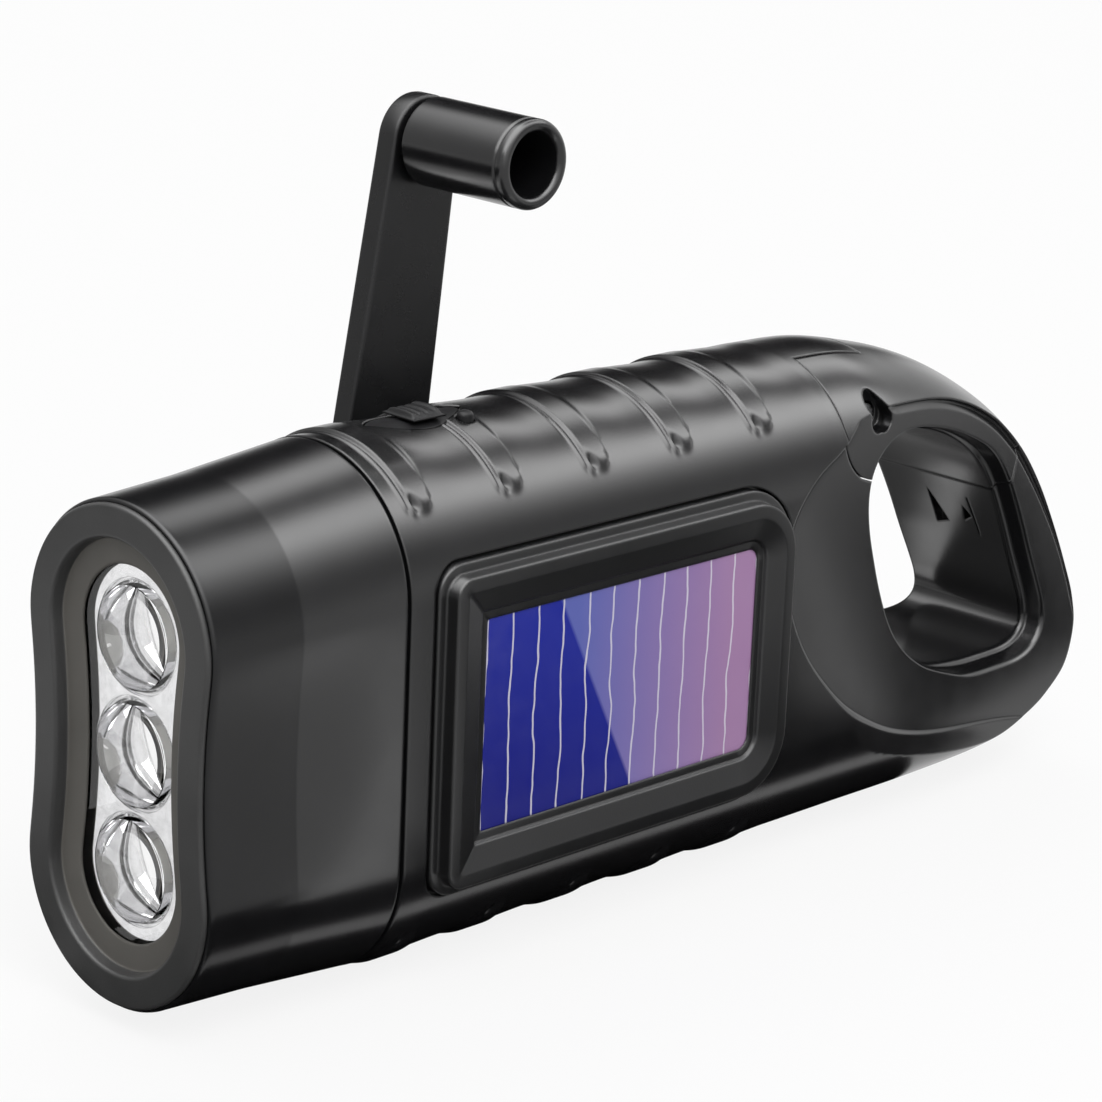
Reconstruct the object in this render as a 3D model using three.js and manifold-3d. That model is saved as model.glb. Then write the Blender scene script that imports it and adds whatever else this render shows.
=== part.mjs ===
// Hand crank flashlight: a three-lens head, a body with a solar panel and a hand generator,
// and a tail that is a carabiner.
//
// All lengths are millimetres. The model is laid out with X from the front face of the head (0)
// towards the tail, the solar panel facing -Y, the crank on the +Y side and Z up, with Z = 0 at
// the middle of the head. The exported group then has its origin at the bottom centre of the whole.

import * as THREE from 'three';
import { mergeVertices } from 'three/addons/utils/BufferGeometryUtils.js';
import Module from 'manifold-3d';

const wasm = await Module();
wasm.setup();

// Clearances shared by all pieces.
const gap = 0.3;            // between two pieces that sit together
const runGap = 0.12;        // between a shaft and the bore that it turns in
const over = 4;             // how far a cut runs past the surface that it opens
const outer = 200;          // half width of the large blocks that divide the body
const weld = 1e-4;          // corners closer than this are one

// Body and head.
const headLength = 24.3;
const headHalfHeight = 25.4;
const headNarrowing = 0.8;  // how much thinner the head's front is than the body, near side
const headFarSwell = 0.3;   // how much further it reaches on the far side
const headWaistDip = 0.96;
const bodyHalfTop = 27.5;
const bodyHalfBottom = 26.9;
const bodyHalfNear = 14.3;
const bodyHalfFar = 13.2;
const bodyRounding = 14;
const wall = 2;
const splitY = 7.5;
const spigotLength = 3;
const spigotWall = 1.2;

// Front ring, lens, reflector and lamps.
const bezelThickness = 1;
const bezelEdge = 0.6;
const bezelEdgeShares = [0, 0.35, 1];
const bezelRim = 4.5;
const bezelSleeveLength = 1.85;
const bezelSleeveWall = 1.5;
const openingStep = 0.8;
const openingStepDepth = 0.8;
const lensThickness = 1.5;
const lensPitch = 11.73;
const domeRadius = 4.9;
const domeHeight = 1.7;
const ringRadius = 5.6;
const reflectorPlate = 1.2;
const cupDepth = 6.6;
const cupThroatRadius = 3;
const cupWall = 0.8;
const ledBoardThickness = 1.2;
const ledRadius = 2.5;
const ledLength = 5.4;
const ledFlange = 0.6;

// Carabiner tail.
const tailFrom = -4.7;      // start of the tail's curve, from the knob's pocket
const tailLength = 52.4;
const tailRounding = 9;
const facetFrom = -12.7;    // where the flat near side of the tail leaves the body, from the pocket
const facetRise = 0.3;      // how far that flat would stand above the body's side there
const facetSlope = 0.12;    // how much closer it comes per millimetre towards the tail
const facetLean = 0.05;     // and per millimetre upwards
const facetLength = 60;
const facetHalf = 20;
const facetFlare = 1.1;     // how much wider the flat's edge gets above it
const nearTaperFrom = -0.7; // where the near side starts to slope, from the pocket
const nearTaper = 0.1;      // slope of the near side beyond it
const farTaperFrom = 10.3;  // the same on the far side
const rimFar = 8.3;
const holeFrom = 2.1;       // front end of the finger hole, from the pocket
const holeLength = 35.8;
const holeHalfShare = 0.6327; // half height of the hole, as a share of the body's
const holeStep = 4.6;       // how far the hole's front wall is held back behind the knob's pocket
const holeStepShare = 0.4;  // share of the hole's length over which that fades out
const gatePivotFrom = 3.5;  // the gate's pin, from the pocket
const gatePivotShare = 0.7418; // its height, as a share of the body's
const gateSwing = 24;       // degrees
const gateHeelRadius = 6.6;
const gateHeelEnd = 320;    // degrees, where the heel's arc runs out into the hole
const noseFrom = 32.4;      // a point of the seam between the gate's nose and the tail
const noseShare = 0.3964;
const gatePinRadius = 1.3;
const gatePinNear = 9.4;
const gatePinFar = 8.6;
const pinSlotRadius = 1.5;
const pinSlotLean = 1.1;    // half length of the slanted pin opening, along X
const pinSlotDrop = 1.3;    // and along Z
const tongueHalfWidth = 4.4;
const tongueCrown = 4.2;    // how far the hinge tongue's crown reaches behind the pin
const springRadius = 3;
const springWidth = 2.8;

// Ribs over the top and bottom edges.
const ribCount = 5;
const ribFrom = 2.8;        // first rib, from the head
const ribPitch = 12.3;
const ribWidth = 5.2;
const ribHeight = 0.4;
const ribReach = 55;        // degrees from the top to a rib's tip
const ribTipShare = 0.4;    // width at the tips, as a share of the full width
const ribShares = [-0.18, 0, 0.3, 0.82]; // front foot, two crests and rear foot, across the width
const ribPower = 6;         // how long the rib keeps its full width before its tips

// Solar panel.
const panelFrom = 3.7;      // front of the panel, from the head
const panelRear = 13.2;     // and from its rear end to the knob's pocket
const panelHeightShare = 1.2436; // its height, as a share of the body's upper half height
const panelCornerFront = 3;
const panelCornerRear = 7.5;
const panelProud = 1.8;     // how far the frame's face stands out of the body
const panelDepth = 1.4;     // how deep its seat is
const frameRim = 3.9;
const frameStep = 1;        // width of the low step round the frame
const frameStepDrop = 1.6;
const frameLedge = 2.2;
const frameLedgeDrop = 0.7;
const frameLedgeThickness = 0.35;
const cellThickness = 0.5;
const cellMargin = 0.8;
const boardThickness = 1.1;

// Crank.
const hubFrom = 20.3;       // the crank's axis, from the head
const hubZ = 4;
const crankRadius = 48.1;
const crankLean = 8.2;      // degrees from upright, towards the tail
const hubRadius = 11;
const hubDepth = 1.8;       // how deep the disc sits in its recess
const hubStubRadius = 3.5;
const hubBossRadius = 12.6;
const hubBossHeight = 2.2;
const bushWall = 1.3;
const armThickness = 2.7;
const armTipRadius = 4.65;
const armBaseRadius = 6.3;
const armTongueWidth = 8;
const hingePinRadius = 0.8;
const hingePinHalf = 10.2;
const knobRadius = 4.62;
const knobBore = 3.3;
const knobLength = 15.3;
const knobFloor = 1.6;
const knobPinRadius = 1.1;
const knobPinHead = 2.2;
const knobPinHeadHeight = 0.8;
const pocketRadius = 5.3;
const pocketWall = 0.8;

// Gear train, all teeth in one family of involutes.
const pressureAngle = 25;
const backlash = 0.16;
const addendumShare = 0.8;  // tooth height above the pitch circle, as a share of the module
const dedendumShare = 1.05;
const moduleShares = [0.01871, 0.01455, 0.01247]; // modules, as shares of the crank's radius
const driveTeeth = 30;
const wheelTeeth = 36;
const pinionTeeth = 10;
const gearWidth = 1.4;
const gearSpace = 0.25;
const firstBearing = -35;   // degrees, direction from the hub to the first axle
const secondBearing = 20;
const rotorBearing = -125;
const driveWasherRadius = 4.4;
const axleRadius = 1;
const plateThickness = 1.2;
const plateFrom = 5.4;      // front edge of the plate, from the crank's axis
const plateRear = 6.7;      // and from its rear edge to the knob's pocket

// Generator.
const statorRadius = 8.6;
const statorHeight = 9.6;
const statorWall = 0.7;
const magnetRadius = 4.6;
const magnetHeight = 6.4;
const coilInner = 5.2;
const coilHeight = 6.4;
const rotorShaftRadius = 0.75;

// Screws, switch, indicator, battery and circuit board.
const screwFrontFrom = 6.7; // front screws, from the head
const screwRearFrom = -10.2; // rear screws, from the knob's pocket
const screwShare = 0.6364;  // their height, as a share of the body's upper half height
const screwHeadRadius = 2.3;
const screwHeadHeight = 1.4;
const screwShankRadius = 1.1;
const screwLength = 12;
const postRadius = 3;
const counterboreDepth = 2;
const switchFrom = 14.4;    // the switch, its plate and the indicator, from the head
const switchPlateFrom = 13.1;
const switchPlateLength = 12.6;
const switchPlateWidth = 5.6;
const switchPlateThickness = 1.5;
const leafPower = 0.8;      // how blunt the leaf's points are
const switchPlateProud = 0.1;
const switchTravel = 2;
const sliderLength = 4.2;
const sliderWidth = 4.6;
const sliderHeight = 0.7;
const sliderRidgeHeight = 0.3;
const sliderRidges = 4;
const sliderEdgeShare = 0.6; // height of the thumb piece's ends
const ridgeFootShare = 0.55; // half widths of a ridge's foot and top
const ridgeTopShare = 0.3;
const stemLength = 2.2;
const stemWidth = 2;
const switchBodyLength = 9;
const switchBodyWidth = 5;
const switchBodyHeight = 5;
const indicatorFrom = 17.3;
const indicatorY = -3.3;
const indicatorRadius = 0.85;
const indicatorProud = 0.8;
const batteryRadius = 5.75;
const batteryLength = 17.5;
const batteryFrom = 17.7;   // from the head
const batteryZ = -5;
const pcbThickness = 1.2;
const pcbReach = 30.7;      // rear edge of the board, from the head
const pcbHeightShare = 0.98; // its height, as a share of the body's upper half height

// Places worked out from the sizes above.
const hubX = headLength + hubFrom;
const pocketX = hubX + crankRadius;
const pocketZ = hubZ;
const tailStart = pocketX + tailFrom;
const facetStart = pocketX + facetFrom;
const facetLevel = bodyHalfNear + facetRise;
const nearTaperStart = pocketX + nearTaperFrom;
const farTaperStart = pocketX + farTaperFrom;
const holeStart = pocketX + holeFrom;
const holeHalf = bodyHalfTop * holeHalfShare;
const gatePivotX = pocketX + gatePivotFrom;
const gatePivotZ = bodyHalfTop * gatePivotShare;
const noseX = pocketX + noseFrom;
const noseZ = bodyHalfTop * noseShare;
const ribFirst = headLength + ribFrom;
const panelStart = headLength + panelFrom;
const panelLength = pocketX - panelRear - panelStart;
const panelHeight = bodyHalfTop * panelHeightShare;
const panelFront = bodyHalfNear + panelProud;
const panelFloor = bodyHalfNear - panelDepth;
const [driveModule, firstModule, secondModule] = moduleShares.map((share) => share * crankRadius);
const plateStart = hubX + plateFrom;
const plateEnd = pocketX - plateRear;
const screwFrontX = headLength + screwFrontFrom;
const screwRearX = pocketX + screwRearFrom;
const screwZ = bodyHalfTop * screwShare;
const switchX = headLength + switchFrom;
const switchPlateX = headLength + switchPlateFrom;
const indicatorX = headLength + indicatorFrom;
const batteryX = headLength + batteryFrom;
const pcbEnd = headLength + pcbReach;
const pcbHeight = bodyHalfTop * pcbHeightShare;
const nearInner = bodyHalfNear - wall;
const farInner = bodyHalfFar - wall;
const seatX = headLength + gap;

// Mesh tools.

/** A closed three.js geometry as a solid that can be joined and cut. */
function solid(geometry) {
  const bare = geometry.index ? geometry.toNonIndexed() : geometry.clone();
  bare.deleteAttribute('normal');
  bare.deleteAttribute('uv');
  const merged = mergeVertices(bare, weld);
  const mesh = new wasm.Mesh({
    numProp: 3,
    vertProperties: new Float32Array(merged.attributes.position.array),
    triVerts: new Uint32Array(merged.index.array),
  });
  return new wasm.Manifold(mesh);
}

/** A solid back as a geometry with flat shading. */
function geometryOf(shape) {
  const mesh = shape.getMesh();
  const geometry = new THREE.BufferGeometry();
  geometry.setAttribute('position', new THREE.BufferAttribute(new Float32Array(mesh.vertProperties), 3));
  geometry.setIndex(new THREE.BufferAttribute(new Uint32Array(mesh.triVerts), 1));
  geometry.computeVertexNormals();
  return geometry;
}

/** Joins a list of solids. */
function join(shapes) {
  return shapes.reduce((whole, shape) => whole.add(shape));
}

/** A block between two corners. */
function block(x0, x1, y0, y1, z0, z1) {
  const box = new THREE.BoxGeometry(x1 - x0, y1 - y0, z1 - z0);
  box.translate((x0 + x1) / 2, (y0 + y1) / 2, (z0 + z1) / 2);
  return solid(box);
}

/** A round bar along Y at (x, z), from y0 to y1. */
function rod(x, z, radius, y0, y1, sides = 24) {
  const bar = new THREE.CylinderGeometry(radius, radius, y1 - y0, sides);
  bar.translate(x, (y0 + y1) / 2, z);
  return solid(bar);
}

/** A ring along Y. */
function tube(x, z, radius, bore, y0, y1, sides = 24) {
  return rod(x, z, radius, y0, y1, sides).subtract(rod(x, z, bore, y0 - over, y1 + over, sides));
}

/** A round bar along X at (y, z), centred on x. */
function barX(x, y, z, radius, length, sides = 16) {
  const bar = new THREE.CylinderGeometry(radius, radius, length, sides);
  bar.rotateZ(Math.PI / 2);
  bar.translate(x, y, z);
  return solid(bar);
}

/** A round bar along Z at (x, y), from z0 to z1. */
function barZ(x, y, radius, z0, z1, sides = 16) {
  const bar = new THREE.CylinderGeometry(radius, radius, z1 - z0, sides);
  bar.rotateX(Math.PI / 2);
  bar.translate(x, y, (z0 + z1) / 2);
  return solid(bar);
}

/** A flat outline in the X-Z plane, drawn as points [x, z], extruded from y0 to y1. */
function plateXZ(points, y0, y1) {
  const shape = new THREE.Shape(points.map(([x, z]) => new THREE.Vector2(x, z)));
  const geometry = new THREE.ExtrudeGeometry(shape, { depth: y1 - y0, bevelEnabled: false });
  geometry.rotateX(Math.PI / 2);
  geometry.translate(0, y1, 0);
  return solid(geometry);
}

/** A flat outline in the X-Y plane, drawn as points [x, y], extruded from z0 to z1. */
function plateXY(points, z0, z1) {
  const shape = new THREE.Shape(points.map(([x, y]) => new THREE.Vector2(x, y)));
  const geometry = new THREE.ExtrudeGeometry(shape, { depth: z1 - z0, bevelEnabled: false });
  geometry.translate(0, 0, z0);
  return solid(geometry);
}

/** A stack of rings with equal counts, each a list of Vector3, closed by a flat cap at both ends. */
function loft(rings) {
  const count = rings[0].length;
  const points = rings.flat();
  const faces = [];
  for (let r = 0; r + 1 < rings.length; r += 1) {
    for (let i = 0; i < count; i += 1) {
      const a = r * count + i;
      const b = r * count + ((i + 1) % count);
      faces.push(a, b, b + count, a, b + count, a + count);
    }
  }
  const last = (rings.length - 1) * count;
  const flatten = (ring) => {
    const normal = new THREE.Vector3();
    ring.forEach((p, i) => normal.add(p.clone().cross(ring[(i + 1) % count])));
    const axis = ['x', 'y', 'z'].sort((m, n) => Math.abs(normal[n]) - Math.abs(normal[m]))[0];
    const [u, v] = { x: ['y', 'z'], y: ['z', 'x'], z: ['x', 'y'] }[axis];
    return ring.map((p) => new THREE.Vector2(p[u], p[v]));
  };
  const cap = (offset, ring, back) => {
    const contour = flatten(ring);
    const turn = Math.sign(THREE.ShapeUtils.area(contour));
    THREE.ShapeUtils.triangulateShape(contour, []).forEach((corners) => {
      const along = Math.sign(THREE.ShapeUtils.area(corners.map((k) => contour[k]))) === turn;
      const [a, b, c] = along !== back ? corners : [corners[0], corners[2], corners[1]];
      faces.push(a + offset, b + offset, c + offset);
    });
  };
  cap(0, rings[0], true);
  cap(last, rings[rings.length - 1], false);
  const geometry = new THREE.BufferGeometry();
  const flat = points.flatMap((p) => [p.x, p.y, p.z]);
  geometry.setAttribute('position', new THREE.Float32BufferAttribute(flat, 3));
  geometry.setIndex(faces);
  const shape = solid(geometry);
  if (shape.volume() > 0) return shape;
  const turned = geometry.clone();
  turned.setIndex(faces.map((k, i) => faces[i - (i % 3) + (2 - (i % 3))]));
  return solid(turned);
}

const root = new THREE.Group();

/** Adds one named piece, from a solid or a geometry, to a group. */
function piece(name, shape, material, parent = root) {
  const geometry = shape.isBufferGeometry ? shape : geometryOf(shape);
  const mesh = new THREE.Mesh(geometry, material);
  mesh.name = name;
  parent.add(mesh);
  return mesh;
}

const finish = (color, roughness, metalness = 0, opacity = 1) => new THREE.MeshStandardMaterial({
  color,
  roughness,
  metalness,
  opacity,
  transparent: opacity < 1,
});

// Smooth step from 0 to 1.
const ease = (t) => {
  const s = Math.min(1, Math.max(0, t));
  return s * s * (3 - 2 * s);
};

// Outer surface of the head: sections across X.

/** Half heights, half thicknesses and waist of the head at distance x from its front. */
function headSize(x) {
  const t = x / headLength;
  const mix = (a, b) => a + (b - a) * t;
  return {
    top: mix(headHalfHeight, bodyHalfTop),
    bottom: mix(headHalfHeight, bodyHalfBottom),
    near: mix(bodyHalfNear - headNarrowing, bodyHalfNear),
    far: mix(bodyHalfFar + headFarSwell, bodyHalfFar),
    rounding: mix(bodyHalfNear - headNarrowing, bodyRounding),
    dip: headWaistDip * (1 - ease(t)),
  };
}

/** One ring of points at x: round lobes above and below, a waist between, moved in by inset. */
function headRing(x, inset, size = headSize(Math.min(x, headLength))) {
  const arcSteps = 10;
  const sideSteps = 4;
  const ring = [];
  const deep = size.rounding - inset;
  const lobe = (centre, sign, from, to) => {
    for (let k = 0; k <= arcSteps; k += 1) {
      const angle = from + ((to - from) * k) / arcSteps;
      const half = Math.sin(angle) < 0 ? size.near - inset : size.far - inset;
      ring.push(new THREE.Vector3(x, half * Math.sin(angle), centre + sign * deep * Math.cos(angle)));
    }
  };
  const side = (half, sign, z0, z1) => {
    for (let k = 1; k < sideSteps; k += 1) {
      const z = z0 + ((z1 - z0) * k) / sideSteps;
      const across = (2 * k) / sideSteps - 1;
      ring.push(new THREE.Vector3(x, sign * (half - inset - size.dip * (1 - across * across)), z));
    }
  };
  const high = size.top - size.rounding;
  const low = size.rounding - size.bottom;
  lobe(high, 1, -Math.PI / 2, Math.PI / 2);
  side(size.far, 1, high, low);
  lobe(low, -1, Math.PI / 2, -Math.PI / 2);
  side(size.near, -1, low, high);
  return ring;
}

/** The head's outer shape from x0 to x1, moved in by inset. */
function headBlock(x0, x1, inset, steps = 4) {
  const rings = [];
  for (let k = 0; k <= steps; k += 1) rings.push(headRing(x0 + ((x1 - x0) * k) / steps, inset));
  return loft(rings);
}

/** A straight plug whose outline is that of the head at its front, moved in by inset. */
function frontPlug(x0, x1, inset) {
  const size = headSize(0);
  return loft([headRing(x0, inset, size), headRing(x1, inset, size)]);
}

// Outer surface of the body: an outline in the X-Z plane, rounded towards both sides.

const tailTopShares = [
  [0, 1], [0.162, 0.985], [0.302, 0.931], [0.401, 0.88], [0.489, 0.815], [0.58, 0.724], [0.664, 0.615],
  [0.752, 0.458], [0.828, 0.273], [0.893, 0.069], [0.947, -0.129], [0.987, -0.303], [1, -0.469],
];
const tailBottomShares = [
  [0.966, -0.653], [0.889, -0.775], [0.798, -0.86], [0.647, -0.948], [0.405, -0.985], [0.162, -0.996],
  [0, -1],
];

/** The outline's points from the front top, round the tail, to the front bottom, with inward normals. */
function bodyOutline() {
  const place = ([sx, sz]) => new THREE.Vector2(
    tailStart + sx * tailLength,
    sz * (sz > 0 ? bodyHalfTop : bodyHalfBottom),
  );
  const curve = new THREE.SplineCurve([...tailTopShares, ...tailBottomShares].map(place));
  const steps = 38;
  const tail = curve.getSpacedPoints(steps);
  const samples = tail.map((p, i) => {
    const before = tail[Math.max(0, i - 1)];
    const after = tail[Math.min(steps, i + 1)];
    const along = after.clone().sub(before).normalize();
    const share = ease((p.x - tailStart) / tailLength);
    return {
      x: p.x,
      z: p.y,
      nx: along.y,
      nz: -along.x,
      depth: bodyRounding + (tailRounding - bodyRounding) * share,
    };
  });
  const front = seatX - over;
  const upper = { x: front, z: bodyHalfTop, nx: 0, nz: -1, depth: bodyRounding };
  const lower = { x: front, z: -bodyHalfBottom, nx: 0, nz: 1, depth: bodyRounding };
  samples[0].nx = 0;
  samples[0].nz = -1;
  samples[steps].nx = 0;
  samples[steps].nz = 1;
  return [upper, ...samples, lower];
}

/** The body's outer shape moved in by inset: rings at angles from the near side to the far side. */
function bodyBlock(inset) {
  const outline = bodyOutline();
  const steps = 12;
  const rings = [];
  for (let k = 0; k <= steps; k += 1) {
    const angle = -Math.PI / 2 + (Math.PI * k) / steps;
    const half = Math.sin(angle) < 0 ? bodyHalfNear : bodyHalfFar;
    const y = (half - inset) * Math.sin(angle);
    rings.push(outline.map(({ x, z, nx, nz, depth }) => {
      const inward = inset + (depth - inset) * (1 - Math.cos(angle));
      return new THREE.Vector3(x + nx * inward, y, z + nz * inward);
    }));
  }
  return loft(rings);
}

// The finger hole of the carabiner.
const holeShares = [
  [0, 0.672], [0.02, 0.83], [0.072, 0.94], [0.145, 0.995], [0.232, 1.005], [0.318, 0.977], [0.422, 0.925],
  [0.52, 0.851], [0.623, 0.741], [0.704, 0.615], [0.76, 0.477], [0.802, 0.339], [0.858, 0.115],
  [0.908, -0.109], [0.964, -0.345], [0.996, -0.5], [0.997, -0.62], [0.955, -0.69], [0.877, -0.715],
  [0.774, -0.708], [0.623, -0.69], [0.475, -0.644], [0.358, -0.575], [0.251, -0.448], [0.176, -0.31],
  [0.123, -0.155], [0.073, 0.063], [0.036, 0.276], [0.008, 0.477],
];

/** The hole's outline as points [x, z], with its front wall held back by a length. */
function holeOutline(back = 0) {
  const points = holeShares.map(([sx, sz]) => new THREE.Vector3(
    holeStart + sx * holeLength + back * Math.max(0, 1 - sx / holeStepShare),
    0,
    sz * holeHalf,
  ));
  const curve = new THREE.CatmullRomCurve3(points, true);
  return curve.getSpacedPoints(40).slice(0, 40).map((p) => [p.x, p.z]);
}

/** A solid that cuts the hole right through, narrower behind the knob's pocket. */
function holeCutter() {
  const ring = (back, y) => holeOutline(back).map(([x, z]) => new THREE.Vector3(x, y, z));
  return loft([
    ring(0, -outer),
    ring(0, -nearInner / 2),
    ring(holeStep, -knobReach),
    ring(holeStep, outer),
  ]);
}

// The crank's levels along Y, and how far the knob's pocket reaches past the middle plane.
const armInner = bodyHalfFar + gap;
const armMiddle = armInner + armThickness / 2;
const armOuter = armInner + armThickness;
const knobReach = Math.max(0, knobLength + gap - armInner) + gap + pocketWall;

/** How far the flat near side of the tail is from the middle plane. */
function facetAt(x, z) {
  return facetLevel - facetSlope * (x - facetStart) - facetLean * z;
}

// Outline of the flat near side; its upper rear part lies outside the body.
const facetShares = [
  [0.16, 0.93], [0.097, 0.86], [0.043, 0.745], [0, 0.575], [-0.01, 0.305], [0.005, 0.13], [0.033, -0.05],
  [0.07, -0.215], [0.125, -0.39], [0.183, -0.54], [0.262, -0.68], [0.33, -0.775], [0.415, -0.855],
  [0.495, -0.905], [0.573, -0.935], [0.662, -0.95], [0.76, -0.96], [0.9, -0.97], [1.02, -0.85],
  [1.08, -0.5], [1.08, -0.1], [1.08, 1.2], [0.7, 1.5], [0.3, 1.25],
];

/** Cuts the flat near side of the tail, with an edge that flares outwards. */
function facetCutter() {
  const ring = (flare, depth) => facetShares.map(([sx, sz]) => {
    const x = facetStart + facetLength * (0.5 + (sx - 0.5) * flare);
    const z = sz * facetHalf * flare;
    return new THREE.Vector3(x, -depth(x, z), z);
  });
  return loft([
    ring(facetFlare, () => outer),
    ring(facetFlare, (x, z) => facetAt(x, z) + over),
    ring(1, facetAt),
  ]);
}

/** Everything beyond a plane that leaves one side of the body at x = start with the given slope. */
function taperCutter(start, half, slope, sign) {
  return plateXY([
    [start, sign * half],
    [outer, sign * (half - slope * (outer - start))],
    [outer, sign * outer],
    [start, sign * outer],
  ], -outer, outer);
}

/** Everything in front of the tail's flat near side, moved in by inset. */
function nearFacet(inset) {
  const corners = [[0, -outer], [outer, -outer], [outer, outer], [0, outer]];
  const ring = (depth) => corners.map(([x, z]) => new THREE.Vector3(x, depth(x, z), z));
  return loft([ring(() => -outer), ring((x, z) => inset - facetAt(x, z))]);
}

// The gate: the upper bar of the carabiner, from its heel to its nose.
const noseReach = Math.hypot(noseX - gatePivotX, noseZ - gatePivotZ);
const noseAngle = THREE.MathUtils.radToDeg(Math.atan2(noseZ - gatePivotZ, noseX - gatePivotX));

/** Points of an arc about the gate's pin, in degrees. */
function gateArc(radius, from, to, steps = 10) {
  const points = [];
  for (let k = 0; k <= steps; k += 1) {
    const angle = THREE.MathUtils.degToRad(from + ((to - from) * k) / steps);
    points.push([gatePivotX + radius * Math.cos(angle), gatePivotZ + radius * Math.sin(angle)]);
  }
  return points;
}

/** Outline of the gate, or of the room it swings in: heel arc below the pin, nose arc, open above. */
function gateOutline(clearance, swing) {
  const heel = gateArc(gateHeelRadius + clearance, 180, gateHeelEnd);
  const nose = gateArc(noseReach + clearance - gap, noseAngle - swing, noseAngle + gateSwing);
  const left = heel[0];
  const foot = heel[heel.length - 1];
  return [[left[0], bodyHalfTop + over], ...heel, [foot[0] + over, foot[1] - 3 * over], ...nose];
}

/** The body's outer shape with the tail's two flat sides and the finger hole. */
function outerBody() {
  const farSlope = (bodyHalfFar - rimFar) / (tailStart + tailLength - farTaperStart);
  return bodyBlock(0)
    .subtract(taperCutter(nearTaperStart, bodyHalfNear, nearTaper, -1))
    .subtract(taperCutter(farTaperStart, bodyHalfFar, farSlope, 1))
    .subtract(facetCutter())
    .subtract(holeCutter());
}

/** One rib: a low wedge laid across the top (sign 1) or bottom (sign -1) edge, pointed at both ends. */
function rib(x, sign) {
  const steps = 14;
  const half = sign > 0 ? bodyHalfTop : bodyHalfBottom;
  const rings = [];
  for (let k = 0; k <= steps; k += 1) {
    const t = (2 * k) / steps - 1;
    const angle = THREE.MathUtils.degToRad(ribReach) * t;
    const swell = Math.sqrt(Math.max(0, 1 - t ** ribPower));
    const side = Math.sin(angle) < 0 ? bodyHalfNear : bodyHalfFar;
    const at = (dx, lift) => new THREE.Vector3(
      x + dx,
      (side + lift) * Math.sin(angle),
      sign * (half - bodyRounding + (bodyRounding + lift) * Math.cos(angle)),
    );
    const width = ribWidth * (ribTipShare + (1 - ribTipShare) * swell);
    const lifts = [-wall / 4, ribHeight * swell, ribHeight * swell, -wall / 4];
    rings.push(ribShares.map((share, i) => at(width * share, lifts[i])));
  }
  return loft(rings);
}

/** A rounded rectangle in the X-Z plane; the rear corners may have their own radius. */
function rounded(x0, x1, z0, z1, front, rear, steps = 6) {
  const points = [];
  const corner = (cx, cz, radius, from) => {
    for (let k = 0; k <= steps; k += 1) {
      const angle = THREE.MathUtils.degToRad(from + (90 * k) / steps);
      points.push([cx + radius * Math.cos(angle), cz + radius * Math.sin(angle)]);
    }
  };
  corner(x1 - rear, z1 - rear, rear, 0);
  corner(x0 + front, z1 - front, front, 90);
  corner(x0 + front, z0 + front, front, 180);
  corner(x1 - rear, z0 + rear, rear, 270);
  return points;
}

/** The solar panel's outline, moved in by inset. */
function panelOutline(inset) {
  const half = panelHeight / 2 - inset;
  const front = Math.max(gap, panelCornerFront - inset);
  const rear = Math.max(gap, panelCornerRear - inset);
  return rounded(panelStart + inset, panelStart + panelLength - inset, -half, half, front, rear);
}

/** The leaf-shaped outline of the switch plate, pointed at both ends, as points [x, y]. */
function leaf(length, width, steps = 8) {
  const points = [];
  for (let k = 0; k < steps * 2; k += 1) {
    const t = (k % steps) / steps;
    const sign = k < steps ? 1 : -1;
    const x = sign * length * (0.5 - t);
    points.push([switchPlateX + x, sign * 0.5 * width * Math.sin(Math.PI * t) ** leafPower]);
  }
  return points;
}

const postPlaces = [
  [screwFrontX, screwZ],
  [screwFrontX, -screwZ],
  [screwRearX, screwZ],
  [screwRearX, -screwZ],
];

// Where the cover ends at the rear, and where the hollow inside the body does.
const coverRear = gatePivotX - gateHeelRadius - wall;
const cavityEnd = coverRear - gap;

/** Region of the crank-side cover: the far side ahead of the tail and a lobe round the pocket. */
function coverRegion(back) {
  const lobeRadius = pocketRadius + pocketWall + wall / 2 - back;
  return block(-outer, coverRear - back, splitY + back, outer, -outer, outer)
    .add(rod(pocketX, pocketZ, lobeRadius, splitY + back, outer, 32));
}

// Levels of the gear train along Y, from the crank's side inwards.
const recessFloor = bodyHalfFar - hubDepth;
const bossInner = recessFloor - hubBossHeight;
const driveTop = bossInner - gearSpace;
const driveBottom = driveTop - gearWidth;
const firstTop = driveBottom - gearSpace;
const firstBottom = firstTop - gearWidth;
const secondTop = firstBottom - gearSpace;
const secondBottom = secondTop - gearWidth;
const plateTop = secondBottom - gearSpace;
const plateBottom = plateTop - plateThickness;

const polar = (from, distance, degrees) => ({
  x: from.x + distance * Math.cos(THREE.MathUtils.degToRad(degrees)),
  z: from.z + distance * Math.sin(THREE.MathUtils.degToRad(degrees)),
});
const hub = { x: hubX, z: hubZ };
const firstAxle = polar(hub, ((driveTeeth + pinionTeeth) * driveModule) / 2, firstBearing);
const secondAxle = polar(firstAxle, ((wheelTeeth + pinionTeeth) * firstModule) / 2, secondBearing);
const rotor = polar(secondAxle, ((wheelTeeth + pinionTeeth) * secondModule) / 2, rotorBearing);

/** The body's outer shape with its ribs. */
function ribbedBody() {
  let shape = outerBody();
  for (let i = 0; i < ribCount; i += 1) {
    shape = shape.add(rib(ribFirst + i * ribPitch, 1)).add(rib(ribFirst + i * ribPitch, -1));
  }
  return shape;
}

const bodyWithRibs = ribbedBody();

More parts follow.
